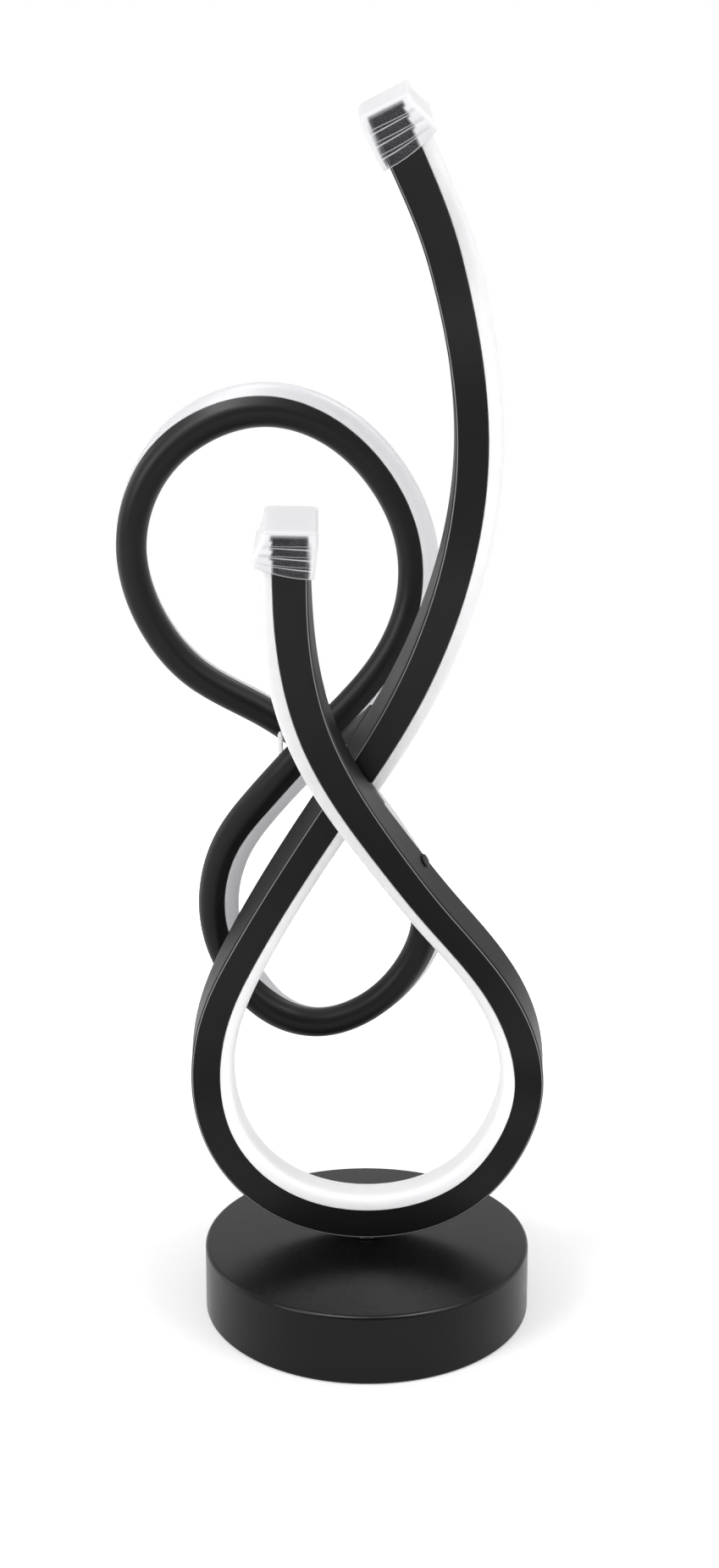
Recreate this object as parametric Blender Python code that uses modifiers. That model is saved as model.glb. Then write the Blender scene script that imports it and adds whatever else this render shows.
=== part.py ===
"""Sculptural table lamp: two bent aluminium ribbons with milky light covers on a round weighted base.

The front ribbon stands on the base as a teardrop, crosses itself and ends in two free tips. The rear
ribbon is a figure of eight that hangs on the front one. Units are metres, +Z is up, the viewer looks
along +Y, and the origin lies on the floor under the centre of the base.
"""

import math

import bmesh
import bpy
import numpy as np
from mathutils import Matrix, Vector

# Whole lamp
BASE_RADIUS = 0.060
BASE_HEIGHT = 0.0242
SCULPTURE_HEIGHT = 0.400
FIT = 0.0003
CUT_OVERRUN = 0.001

# Base
SHELL_WALL = 0.0016
SHELL_EDGE_RADIUS = 0.0014
RIM_CLEARANCE = 0.0003
PAD_THICKNESS = 0.0015
PAD_MARGIN = 0.004
PLATE_THICKNESS = 0.002
BALLAST_BORE_RADIUS = 0.036
BALLAST_CLEARANCE = 0.0008
BAR_THICKNESS = 0.0025
BAR_WIDTH = 0.016
BAR_END_CLEARANCE = 0.004
BOLT_RADIUS = 0.002
BOLT_HEAD_RADIUS = 0.0036
BOLT_HEAD_HEIGHT = 0.0024
PLATE_SCREW_RADIUS = 0.0015
PLATE_SCREW_HEAD_RADIUS = 0.0028
PLATE_SCREW_HEAD_HEIGHT = 0.0015
PLATE_SCREW_LENGTH = 0.009
PLATE_SCREW_COUNT = 4

# Threaded tube that joins the base and the front ribbon
STEM_RADIUS = 0.003
STEM_BORE_RADIUS = 0.002
STEM_NUT_WIDTH = 0.010
STEM_NUT_HEIGHT = 0.0024
STEM_OVERRUN = 0.0005
SPACER_RADIUS = 0.005
SPACER_HEIGHT = 0.001
LOCK_WASHER_RADIUS = 0.0055
LOCK_WASHER_HEIGHT = 0.001

# Power socket in the back of the base
SOCKET_FLANGE_RADIUS = 0.0055
SOCKET_FLANGE_THICKNESS = 0.0015
SOCKET_NECK_RADIUS = 0.0038
SOCKET_LENGTH = 0.014
SOCKET_BORE_RADIUS = 0.0028
SOCKET_BORE_DEPTH = 0.009
SOCKET_PIN_RADIUS = 0.001
SOCKET_NUT_WIDTH = 0.011
SOCKET_NUT_HEIGHT = 0.0018
SOCKET_NOTCH_CLEARANCE = 0.0016

# Driver board in the base
BOARD_LENGTH = 0.028
BOARD_WIDTH = 0.018
BOARD_THICKNESS = 0.0016
BOARD_OFFSET = 0.0215
POST_HEIGHT = 0.0035
POST_RADIUS = 0.0024
POST_EDGE = 0.0032
BOARD_SCREW_RADIUS = 0.001
BOARD_SCREW_HEAD_RADIUS = 0.002
BOARD_SCREW_HEAD_HEIGHT = 0.0012
INDUCTOR_RADIUS = 0.0035
INDUCTOR_HEIGHT = 0.005
CAPACITOR_RADIUS = 0.0025
CAPACITOR_HEIGHT = 0.0075
CHIP_LENGTH = 0.006
CHIP_WIDTH = 0.004
CHIP_HEIGHT = 0.0014
TERMINAL_LENGTH = 0.008
TERMINAL_WIDTH = 0.005
TERMINAL_HEIGHT = 0.005
LEAD_RADIUS = 0.0007

# Front ribbon: a U-shaped channel, a light strip in it and a domed cover over its mouth
FRONT_WIDTH = 0.014
FRONT_DEPTH = 0.0106
FRONT_COVER_HEIGHT = 0.0052
FRONT_WALL = 0.0014
FRONT_CORNER = 0.0008

# Rear ribbon: a slimmer channel with a half-round back
REAR_WIDTH = 0.0112
REAR_DEPTH = 0.0086
REAR_COVER_HEIGHT = 0.0066
REAR_WALL = 0.0012
REAR_POCKET_DEPTH = 0.0048
REAR_BUTT_GAP = 0.0006

# Light strips and covers of both ribbons
STRIP_THICKNESS = 0.0012
STRIP_SIDE_CLEARANCE = 0.0006
STRIP_START = 0.012
COVER_WALL = 0.0013
COVER_LEG = 0.0016
RING_SPACING = 0.022
RING_BEND = math.radians(14)
RING_TWIST = math.radians(26)
ROUTE_SAMPLES = 1500

# Clear end caps
CAP_OVERLAP = 0.0130
CAP_LIP_WALL = 0.0016
CAP_WALL = 0.0021
CAP_END_WALL = 0.0024
CAP_EDGE_RADIUS = 0.0009
CAP_CORNER = 0.0012
CAP_BEVEL = 0.0037
CAP_CROWN_CLEARANCE = 0.0003
CAP_GROOVE_DEPTH = 0.0004
CAP_GROOVE_COUNT = 3
CAP_GROOVE_PITCH = 0.0034
COVER_FALL_LENGTH = 0.050
COVER_NOSE_LENGTH = 0.008

# Bent bracket that carries the rear ribbon, plate between the front strands, and post in the rear one
BRACKET_LENGTH = 0.018
BRACKET_THICKNESS = 0.0012
BRACKET_SEAT_GAP = 0.0005
BRACKET_FRONT_TAB = 0.006
BRACKET_REAR_TAB = 0.0048
BRACKET_SCREW_PITCH = 0.0075
CROSSING_PLATE_LENGTH = 0.0145
CROSSING_PLATE_INSET = 0.0005
POST_PIN_RADIUS = 0.001
POST_PEG_RADIUS = 0.0006
POST_PEG_LENGTH = 0.0009
RIBBON_SCREW_RADIUS = 0.0009
RIBBON_SCREW_HEAD_RADIUS = 0.0014
CLAMP_HEAD_RADIUS = 0.0026
RIBBON_SCREW_HEAD_HEIGHT = 0.0008
LEAD_BEND = 0.004

# Route of each channel's middle. Across and height over the seat are shares of the sculpture's height.
# Depth is in widths of the front ribbon, because the strands pass one another in depth.
FRONT_ROUTE_SHARES = (
    (-0.057, -5.30, 0.627), (-0.057, -4.14, 0.554), (-0.040, -2.26, 0.461),
    (0.024, 0.14, 0.347), (0.070, 0.94, 0.285), (0.145, 1.40, 0.176),
    (0.154, 1.17, 0.119), (0.134, 0.54, 0.068), (0.098, 0.14, 0.030),
    (0.000, 0.00, 0.000), (-0.098, 0.14, 0.030), (-0.135, 0.54, 0.069),
    (-0.152, 1.06, 0.122), (-0.145, 1.37, 0.184), (-0.120, 1.54, 0.241),
    (-0.090, 1.46, 0.294), (-0.022, 0.43, 0.403), (0.034, -0.83, 0.499),
    (0.074, -1.43, 0.608), (0.085, -1.43, 0.716), (0.062, -2.30, 0.833),
    (0.029, -4.21, 0.894), (0.012, -4.78, 0.925),
)
REAR_ROUTE_SHARES = (
    (-0.088, 1.86, 0.737), (-0.031, 2.06, 0.719), (0.010, 2.34, 0.681),
    (0.037, 2.57, 0.625), (0.037, 2.63, 0.566), (0.005, 2.43, 0.501),
    (-0.046, 2.29, 0.447), (-0.106, 2.57, 0.382), (-0.137, 2.86, 0.340),
    (-0.154, 3.09, 0.267), (-0.138, 3.14, 0.210), (-0.087, 3.14, 0.160),
    (-0.047, 3.14, 0.152), (-0.005, 3.20, 0.164), (0.043, 3.29, 0.212),
    (0.056, 3.37, 0.265), (0.040, 3.57, 0.302), (-0.022, 3.77, 0.393),
    (-0.098, 3.49, 0.459), (-0.166, 2.86, 0.501), (-0.206, 2.37, 0.558),
    (-0.217, 2.00, 0.623), (-0.196, 1.86, 0.682), (-0.150, 1.86, 0.722),
)
# Roll of the section at each route point: at 0 its flat side faces the viewer
FRONT_ROLL_DEGREES = (
    -1, 4, 8, 20, 23, 16, 5, 0, 0, 0, 0, 0, 4, 10, 16, 19, 19, 14, 5, -2, -9, -13, -14,
)
REAR_ROLL_DEGREES = (
    163, 175, 177, 178, 174, 166, 155, 146, 154, 158, 145, 94,
    78, 77, 63, 54, 60, 74, 81, 83, 90, 100, 115, 145,
)
# Places along a route, as shares of its length
STEM_SHARE = 0.4251
CLAMP_SCREW_SHARE = 0.1945
BRACKET_FRONT_SHARE = 0.7240
BRACKET_REAR_SHARE = 0.2470
CROSSING_NEAR_SHARE = 0.1506
CROSSING_SCREW_SHARE = 0.1451
CROSSING_FAR_SHARE = 0.7054
POST_UPPER_SHARE = 0.7347
POST_LOWER_SHARE = 0.2725
BRIDGE_FRONT_SHARE = 0.7065
BRIDGE_REAR_SHARE = 0.2640

# Heights worked out from the base upwards
PLATE_BOTTOM = PAD_THICKNESS + FIT
PLATE_TOP = PLATE_BOTTOM + PLATE_THICKNESS
SHELL_CEILING = BASE_HEIGHT - SHELL_WALL
BAR_TOP = SHELL_CEILING - FIT
BAR_BOTTOM = BAR_TOP - BAR_THICKNESS
BALLAST_TOP = BAR_BOTTOM - FIT
BALLAST_BOTTOM = PLATE_TOP + FIT
SHELL_INNER_RADIUS = BASE_RADIUS - SHELL_WALL
BALLAST_RADIUS = SHELL_INNER_RADIUS - BALLAST_CLEARANCE
BALLAST_MIDDLE_RADIUS = (BALLAST_RADIUS + BALLAST_BORE_RADIUS) / 2
SOCKET_HEIGHT = (PLATE_TOP + SHELL_CEILING) / 2
SOCKET_NUT_CORNER = SOCKET_NUT_WIDTH / math.sqrt(3)
SPACER_BOTTOM = BASE_HEIGHT + FIT
SEAT_HEIGHT = SPACER_BOTTOM + SPACER_HEIGHT + FIT
ROUTE_FLOOR = SEAT_HEIGHT + FRONT_DEPTH / 2
BOARD_BOTTOM = PLATE_TOP + FIT + POST_HEIGHT + FIT
BOARD_TOP = BOARD_BOTTOM + BOARD_THICKNESS
STRIP_TOP = -FRONT_DEPTH / 2 + FRONT_WALL + FIT + STRIP_THICKNESS

# Shares of the dome's height and half width at its shoulder, its haunch and its crest, and of its inside,
# shares of the front cover's full height where its nose starts and at its tips, and the share of the
# cap's height that is level with the channel's mouth
DOME_SHOULDER_SHARE = 0.55
DOME_HAUNCH_SHARES = (0.78, 0.90)
DOME_CREST_SHARE = 0.3
DOME_INSIDE_SHARE = 0.6
COVER_NOSE_SHARE = 0.64
CAP_KNEE_SHARE = 0.66
COVER_TIP_SHARE = 0.06
RIM_SHARE = 0.7

# Sides of round pieces, and rows of points on bent ones
SEGMENTS = 32
FINE_SEGMENTS = 64
WIDE_SEGMENTS = 48
TUBE_SEGMENTS = 20
HOLE_SEGMENTS = 16
SMALL_SEGMENTS = 12
BACK_SEGMENTS = 7
CORNER_STEPS = 4
LEAD_BEND_STEPS = 5
BRACKET_STATIONS = 5
SMOOTH_DEGREES = 35
COVER_SMOOTH_DEGREES = 50
CAP_SMOOTH_DEGREES = 30


def clear_scene():
    for item in list(bpy.data.objects):
        bpy.data.objects.remove(item, do_unlink=True)


def new_collection(name, hidden=False):
    made = bpy.data.collections.new(name)
    bpy.context.scene.collection.children.link(made)
    made.hide_render = hidden
    return made


def new_material(name, colour, roughness, metallic=0.0, alpha=1.0):
    made = bpy.data.materials.new(name)
    made.use_nodes = True
    shader = made.node_tree.nodes["Principled BSDF"]
    shader.inputs["Base Color"].default_value = (*colour, 1.0)
    shader.inputs["Roughness"].default_value = roughness
    shader.inputs["Metallic"].default_value = metallic
    shader.inputs["Alpha"].default_value = alpha
    made.diffuse_color = (*colour, alpha)
    return made


clear_scene()
LAMP = new_collection("sculptural_table_lamp")
CUTTERS = new_collection("cutters", hidden=True)

PAINT = new_material("black_satin_paint", (0.016, 0.016, 0.017), 0.42)
MILKY = new_material("milky_silicone", (0.84, 0.85, 0.86), 0.35)
CLEAR = new_material("clear_silicone", (0.80, 0.81, 0.82), 0.22, alpha=0.5)
IRON = new_material("cast_iron", (0.11, 0.11, 0.12), 0.7, 0.8)
ZINC = new_material("zinc_plated_steel", (0.55, 0.56, 0.57), 0.35, 1.0)
BLACK_OXIDE = new_material("black_oxide_steel", (0.05, 0.05, 0.055), 0.4, 0.9)
FOAM = new_material("black_foam", (0.02, 0.02, 0.02), 0.95)
BOARD_GREEN = new_material("board_laminate", (0.02, 0.16, 0.07), 0.5)
STRIP_WHITE = new_material("white_strip_laminate", (0.8, 0.8, 0.76), 0.5)
COPPER = new_material("copper_winding", (0.55, 0.22, 0.08), 0.35, 0.9)
SLEEVE = new_material("dark_sleeve", (0.03, 0.03, 0.06), 0.45)
TERMINAL_GREEN = new_material("terminal_plastic", (0.02, 0.25, 0.12), 0.5)
LEAD_RED = new_material("red_insulation", (0.45, 0.02, 0.02), 0.5)
LEAD_BLACK = new_material("black_insulation", (0.02, 0.02, 0.02), 0.5)
SOCKET_BLACK = new_material("black_moulding", (0.025, 0.025, 0.025), 0.5)


def add_object(name, mesh, material, home=None):
    """Puts a mesh in the lamp's collection, or in another one, with its material."""
    made = bpy.data.objects.new(name, mesh)
    if material:
        mesh.materials.append(material)
    (home or LAMP).objects.link(made)
    return made


def smooth(mesh, degrees=SMOOTH_DEGREES):
    mesh.shade_smooth()
    mesh.set_sharp_from_angle(angle=math.radians(degrees))


def turned(name, profile, material, segments=SEGMENTS, closed=False, home=None):
    """A profile of (radius, height) points, run down its outer side, turned about Z by a Screw modifier."""
    mesh = bpy.data.meshes.new(name)
    edges = [(i, i + 1) for i in range(len(profile) - 1)]
    if closed:
        edges.append((len(profile) - 1, 0))
    mesh.from_pydata([(radius, 0.0, height) for radius, height in profile], edges, [])
    made = add_object(name, mesh, material, home)
    screw = made.modifiers.new("turn", "SCREW")
    screw.steps = screw.render_steps = segments
    screw.use_merge_vertices = True
    screw.merge_threshold = 0.00001
    screw.use_smooth_shade = True
    return made


def disc(name, radius, bottom, top, material, segments=SEGMENTS, home=None):
    profile = [(0.0, top), (radius, top), (radius, bottom), (0.0, bottom)]
    return turned(name, profile, material, segments, home=home)


def ring(name, bore, radius, bottom, top, material, segments=SEGMENTS):
    profile = [(bore, top), (radius, top), (radius, bottom), (bore, bottom)]
    return turned(name, profile, material, segments, closed=True)


def block(name, size, centre, material, home=None):
    bpy.ops.mesh.primitive_cube_add(size=1.0, location=centre)
    made = bpy.context.object
    made.name = name
    made.scale = size
    bpy.ops.object.transform_apply(location=False, rotation=False, scale=True)
    made.data.materials.append(material)
    for owner in list(made.users_collection):
        owner.objects.unlink(made)
    (home or LAMP).objects.link(made)
    return made


def hexagon(name, width, bottom, top, material, home=None):
    """A six-sided prism, its flats facing along Y."""
    mesh = bpy.data.meshes.new(name)
    work = bmesh.new()
    corner = width / math.sqrt(3)
    bmesh.ops.create_cone(
        work, cap_ends=True, segments=6, radius1=corner, radius2=corner, depth=top - bottom
    )
    turn = Matrix.Rotation(math.radians(30), 3, "Z")
    bmesh.ops.rotate(work, cent=(0, 0, 0), matrix=turn, verts=work.verts)
    bmesh.ops.translate(work, vec=(0, 0, (top + bottom) / 2), verts=work.verts)
    work.to_mesh(mesh)
    work.free()
    return add_object(name, mesh, material, home)


def place(made, location, axis=(0.0, 0.0, 1.0), spin=0.0):
    """Moves an object to a place and turns its own Z onto an axis, after a spin about that Z."""
    turn = Vector(axis).to_track_quat("Z", "Y").to_matrix() @ Matrix.Rotation(spin, 3, "Z")
    made.rotation_euler = turn.to_euler()
    made.location = location
    return made


def cut(made, cutter):
    """Takes the cutter's volume out of an object. The cutter stays in the hidden collection."""
    cutter.display_type = "WIRE"
    cutter.hide_render = True
    hole = made.modifiers.new("cut_" + cutter.name, "BOOLEAN")
    hole.operation = "DIFFERENCE"
    hole.object = cutter
    return made


def drill(made, name, radius, bottom, top, segments=SMALL_SEGMENTS):
    """Drills a round vertical hole, in the drill's own frame, and gives the drill to place."""
    drill_bit = disc(name, radius, bottom, top, None, segments, home=CUTTERS)
    cut(made, drill_bit)
    return drill_bit


def bent_path(points, bend):
    """The points of a path with each inner corner rounded by a quadratic curve no longer than the bend."""
    points = [Vector(point) for point in points]
    path = [points[0]]
    for before, corner, after in zip(points, points[1:], points[2:]):
        enter = corner + (before - corner).normalized() * min(bend, (before - corner).length / 2)
        leave = corner + (after - corner).normalized() * min(bend, (after - corner).length / 2)
        for t in np.linspace(0.0, 1.0, LEAD_BEND_STEPS):
            path.append(enter.lerp(corner, t).lerp(corner.lerp(leave, t), t))
    path.append(points[-1])
    return path


def lead(name, points, radius, material):
    """A round insulated wire along a path with rounded corners, closed at both ends."""
    curve = bpy.data.curves.new(name, "CURVE")
    curve.dimensions = "3D"
    curve.bevel_depth = radius
    curve.bevel_resolution = 1
    curve.use_fill_caps = True
    path = bent_path(points, LEAD_BEND)
    spline = curve.splines.new("POLY")
    spline.points.add(len(path) - 1)
    for point, place_on in zip(spline.points, path):
        point.co = (*place_on, 1.0)
    made = bpy.data.objects.new(name, curve)
    curve.materials.append(material)
    LAMP.objects.link(made)
    return made


def smooth_route(points, closed):
    """A cubic spline through the rows of points, spaced by their distance in the first three columns.

    Its second slopes solve the usual three-term system, free at the ends of an open route and wrapping
    round on a closed one. The function returned takes shares of the whole length and gives the values
    and the slopes there.
    """
    rows = np.asarray(points, float)
    if closed:
        rows = np.vstack([rows, rows[:1]])
    spans = np.linalg.norm(np.diff(rows[:, :3], axis=0), axis=1)
    knots = np.concatenate([[0.0], np.cumsum(spans)])
    slopes = np.diff(rows, axis=0) / spans[:, None]
    last = len(rows) - 1
    system = np.eye(last + 1)
    wanted = np.zeros_like(rows)
    for i in range(1, last):
        system[i, i - 1 : i + 2] = spans[i - 1], 2 * (spans[i - 1] + spans[i]), spans[i]
        wanted[i] = 6 * (slopes[i] - slopes[i - 1])
    if closed:
        system[0, [0, 1, last - 1]] = 2 * (spans[-1] + spans[0]), spans[0], spans[-1]
        wanted[0] = 6 * (slopes[0] - slopes[-1])
        system[last, 0] = -1.0
    bends = np.linalg.solve(system, wanted)

    def at(shares):
        along = np.atleast_1d(shares) * knots[-1]
        along = np.mod(along, knots[-1]) if closed else np.clip(along, 0.0, knots[-1])
        i = np.clip(np.searchsorted(knots, along, side="right") - 1, 0, last - 1)
        h = spans[i][:, None]
        b = (along - knots[i])[:, None] / h
        a = 1.0 - b
        value = a * rows[i] + b * rows[i + 1]
        value += ((a**3 - a) * bends[i] + (b**3 - b) * bends[i + 1]) * h**2 / 6
        slope = slopes[i] + ((3 * b**2 - 1) * bends[i + 1] - (3 * a**2 - 1) * bends[i]) * h / 6
        return value, slope

    at.length = knots[-1]
    return at


class Ribbon:
    """A bent extrusion: its route, and the frame of its section anywhere along it.

    The frame is the tangent, the side that faces the viewer at a roll of 0, and the way the light faces.
    """

    def __init__(self, route_shares, roll_degrees, closed):
        scale = (SCULPTURE_HEIGHT, FRONT_WIDTH, SCULPTURE_HEIGHT)
        places = np.asarray(route_shares) * scale + (0.0, 0.0, ROUTE_FLOOR)
        rows = np.column_stack([places, np.radians(roll_degrees)])
        if closed:
            turns = np.unwrap(np.append(rows[:, 3], rows[0, 3]))
            rows[:, 3] = turns[:-1]
        self.closed = closed
        self.route = smooth_route(rows, closed)
        self.length = self.route.length

    def frames(self, shares):
        value, slope = self.route(shares)
        tangent = slope[:, :3] / np.linalg.norm(slope[:, :3], axis=1)[:, None]
        viewer = np.array([0.0, -1.0, 0.0])
        side = viewer - tangent * (tangent @ viewer)[:, None]
        side /= np.linalg.norm(side, axis=1)[:, None]
        light = np.cross(tangent, side)
        cosine, sine = np.cos(value[:, 3:4]), np.sin(value[:, 3:4])
        return value[:, :3], tangent, cosine * side + sine * light, cosine * light - sine * side

    def frame(self, share):
        return [part[0] for part in self.frames([share])]

    def point(self, share, across, out, onward=0.0):
        """A place near the route: across the section, out towards the light, and onward along the route."""
        centre, tangent, side, light = self.frame(share)
        return centre + across * side + out * light + onward * tangent

    def stations(self, start, end):
        """Shares from start to end, closer together where the route bends or the section turns."""
        fine = np.linspace(start, end, ROUTE_SAMPLES)
        _, tangent, side, _ = self.frames(fine)
        bend = np.arccos(np.clip(np.sum(tangent[1:] * tangent[:-1], axis=1), -1.0, 1.0))
        twist = np.abs(np.sum(np.cross(side[:-1], side[1:]) * tangent[:-1], axis=1))
        run = self.length * np.diff(fine)
        steps = run / RING_SPACING + bend / RING_BEND + twist / RING_TWIST
        weight = np.concatenate([[0.0], np.cumsum(steps)])
        return np.interp(np.linspace(0.0, weight[-1], round(weight[-1]) + 1), weight, fine)

    def rings(self, section, shares):
        """One closed outline of (across, out) points at each share."""
        centre, _, side, light = self.frames(shares)
        outline = np.asarray(section)
        across, out = outline[None, :, 0:1], outline[None, :, 1:2]
        return centre[:, None] + across * side[:, None] + out * light[:, None]


FRONT = Ribbon(FRONT_ROUTE_SHARES, FRONT_ROLL_DEGREES, closed=False)
REAR = Ribbon(REAR_ROUTE_SHARES, REAR_ROLL_DEGREES, closed=True)


def loft(name, rings, section, material, degrees=SMOOTH_DEGREES):
    """A skin over a row of like outlines, each turned its own way, with a flat cap at both ends.

    Every side is split along the same diagonal, from its lower corner in the section at one ring to its
    upper corner at the next, so that pieces nested in one another keep their clearance where they twist.
    """
    rings = np.asarray(rings)
    count, size = rings.shape[:2]
    first = np.arange(size)
    second = (first + 1) % size
    rising = np.array([tuple(section[a]) <= tuple(section[b]) for a, b in zip(first, second)])
    near = np.arange(count - 1)[:, None] * size
    far = near + size
    from_first = np.concatenate([
        np.stack([near + first, near + second, far + second], axis=-1)[:, rising],
        np.stack([near + first, far + second, far + first], axis=-1)[:, rising],
        np.stack([near + first, near + second, far + first], axis=-1)[:, ~rising],
        np.stack([near + second, far + second, far + first], axis=-1)[:, ~rising],
    ], axis=1).reshape(-1, 3)
    ends = [list(range(size))[::-1], list(range((count - 1) * size, count * size))]
    mesh = bpy.data.meshes.new(name)
    mesh.from_pydata(rings.reshape(-1, 3).tolist(), [], from_first.tolist() + ends)
    work = bmesh.new()
    work.from_mesh(mesh)
    bmesh.ops.recalc_face_normals(work, faces=work.faces)
    work.to_mesh(mesh)
    work.free()
    smooth(mesh, degrees)
    return add_object(name, mesh, material)


def front_channel_section():
    """A U with small outer corners, listed round its outline from the mouth."""
    half, back, mouth = FRONT_WIDTH / 2, -FRONT_DEPTH / 2, FRONT_DEPTH / 2
    inside, floor = half - FRONT_WALL, back + FRONT_WALL
    return [
        (-half, mouth), (-half, back + FRONT_CORNER), (-half + FRONT_CORNER, back),
        (half - FRONT_CORNER, back), (half, back + FRONT_CORNER), (half, mouth),
        (inside, mouth), (inside, floor), (-inside, floor), (-inside, mouth),
    ]


def rear_channel_section():
    """A half-round back with a square pocket in it, listed round its outline from the mouth."""
    half, mouth = REAR_WIDTH / 2, REAR_DEPTH / 2
    middle = half - REAR_DEPTH / 2
    angles = np.linspace(math.pi, 2 * math.pi, BACK_SEGMENTS + 1)
    back = [(half * math.cos(a), middle + half * math.sin(a)) for a in angles]
    inside, floor = half - REAR_WALL, mouth - REAR_POCKET_DEPTH
    pocket = [(inside, mouth), (inside, floor), (-inside, floor), (-inside, mouth)]
    return [(-half, mouth), *back, (half, mouth), *pocket]


def cover_section(width, depth, height, wall):
    """A domed cover with two legs that drop inside the channel's mouth."""
    half, base = width / 2, depth / 2 + FIT
    leg = half - wall - FIT
    inner = leg - COVER_WALL
    inside = base + height * DOME_INSIDE_SHARE
    shoulder = base + height * DOME_SHOULDER_SHARE
    haunch = half * DOME_HAUNCH_SHARES[0]
    haunch_top = base + height * DOME_HAUNCH_SHARES[1]
    crest, top = half * DOME_CREST_SHARE, base + height
    return [
        (-half, base), (-leg, base), (-leg, base - COVER_LEG), (-inner, base - COVER_LEG),
        (-inner, inside), (inner, inside), (inner, base - COVER_LEG), (leg, base - COVER_LEG),
        (leg, base), (half, base), (half, shoulder), (haunch, haunch_top), (crest, top),
        (-crest, top), (-haunch, haunch_top), (-half, shoulder),
    ]


def strip_section(pocket_half, floor):
    half, low = pocket_half - STRIP_SIDE_CLEARANCE, floor + FIT
    high = low + STRIP_THICKNESS
    return [(-half, low), (half, low), (half, high), (-half, high)]


def base_shell():
    """The spun cover: a flat top with a rounded edge, an upright wall and a hole for the stem."""
    edge, top = SHELL_EDGE_RADIUS, BASE_HEIGHT
    angles = np.linspace(math.pi / 2, 0.0, CORNER_STEPS)
    middle = BASE_RADIUS - edge
    corner = [(middle + edge * math.cos(a), top - edge + edge * math.sin(a)) for a in angles]
    bore = STEM_RADIUS + FIT
    profile = [
        (bore, top), *corner, (BASE_RADIUS, RIM_CLEARANCE), (SHELL_INNER_RADIUS, RIM_CLEARANCE),
        (SHELL_INNER_RADIUS, SHELL_CEILING), (bore, SHELL_CEILING),
    ]
    shell = turned("base_shell", profile, PAINT, FINE_SEGMENTS, closed=True)
    reach = 2 * SHELL_WALL
    bit = drill(shell, "socket_hole_cutter", SOCKET_NECK_RADIUS + FIT, -reach, reach, HOLE_SEGMENTS)
    place(bit, (0.0, BASE_RADIUS - SHELL_WALL / 2, SOCKET_HEIGHT), (0.0, 1.0, 0.0))


def screw_places():
    """The plate screws' centres, evenly round the ballast and clear of its two bolts."""
    for i in range(PLATE_SCREW_COUNT):
        angle = math.tau * (i + 0.5) / PLATE_SCREW_COUNT
        yield BALLAST_MIDDLE_RADIUS * math.cos(angle), BALLAST_MIDDLE_RADIUS * math.sin(angle)


def countersunk_profile(slack):
    """A countersunk screw standing on its head, wider all round by the slack."""
    head, shank = PLATE_SCREW_HEAD_RADIUS + slack, PLATE_SCREW_RADIUS + slack
    top, neck = PLATE_SCREW_LENGTH + slack, PLATE_SCREW_HEAD_HEIGHT + slack
    return [(0.0, top), (shank, top), (shank, neck), (head, slack), (head, -slack), (0.0, -slack)]


def ballast():
    """The iron ring, notched for the socket and drilled for its bolts and the plate's screws."""
    iron = ring(
        "ballast_ring", BALLAST_BORE_RADIUS, BALLAST_RADIUS, BALLAST_BOTTOM, BALLAST_TOP, IRON,
        WIDE_SEGMENTS,
    )
    notch_width = 2 * (SOCKET_NUT_CORNER + SOCKET_NOTCH_CLEARANCE)
    notch_depth = BALLAST_RADIUS - BALLAST_BORE_RADIUS / 2
    notch_height = BALLAST_TOP - BALLAST_BOTTOM + 2 * CUT_OVERRUN
    centre = (0.0, BALLAST_MIDDLE_RADIUS, (BALLAST_TOP + BALLAST_BOTTOM) / 2)
    notch = block("socket_notch_cutter", (notch_width, notch_depth, notch_height), centre, None, CUTTERS)
    cut(iron, notch)
    for side, x in (("left", -BALLAST_MIDDLE_RADIUS), ("right", BALLAST_MIDDLE_RADIUS)):
        head_top = BALLAST_BOTTOM + FIT + BOLT_HEAD_HEIGHT
        bolt_top = BAR_TOP - FIT
        bolt = turned(
            "ballast_bolt_" + side,
            [
                (0.0, bolt_top), (BOLT_RADIUS, bolt_top), (BOLT_RADIUS, head_top),
                (BOLT_HEAD_RADIUS, head_top), (BOLT_HEAD_RADIUS, BALLAST_BOTTOM + FIT),
                (0.0, BALLAST_BOTTOM + FIT),
            ],
            ZINC, HOLE_SEGMENTS,
        )
        bolt.location.x = x
        cutter = turned(
            "ballast_bolt_cutter_" + side,
            [
                (0.0, BALLAST_TOP + CUT_OVERRUN), (BOLT_RADIUS + FIT, BALLAST_TOP + CUT_OVERRUN),
                (BOLT_RADIUS + FIT, head_top + FIT), (BOLT_HEAD_RADIUS + FIT, head_top + FIT),
                (BOLT_HEAD_RADIUS + FIT, BALLAST_BOTTOM - CUT_OVERRUN), (0.0, BALLAST_BOTTOM - CUT_OVERRUN),
            ],
            None, HOLE_SEGMENTS, home=CUTTERS,
        )
        cutter.location.x = x
        cut(iron, cutter)
    return iron


def bottom_plate(iron):
    """The steel plate that closes the base, held by countersunk screws into the ballast."""
    plate_radius = SHELL_INNER_RADIUS - FIT
    plate = disc("bottom_plate", plate_radius, PLATE_BOTTOM, PLATE_TOP, ZINC, WIDE_SEGMENTS)
    for i, (x, y) in enumerate(screw_places(), start=1):
        screw = turned(f"plate_screw_{i}", countersunk_profile(0.0), ZINC, SMALL_SEGMENTS)
        screw.location = (x, y, PLATE_BOTTOM)
        sunk = countersunk_profile(FIT)
        cutter = turned(f"plate_screw_cutter_{i}", sunk, None, SMALL_SEGMENTS, home=CUTTERS)
        cutter.location = (x, y, PLATE_BOTTOM)
        cut(plate, cutter)
        cut(iron, cutter)


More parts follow.
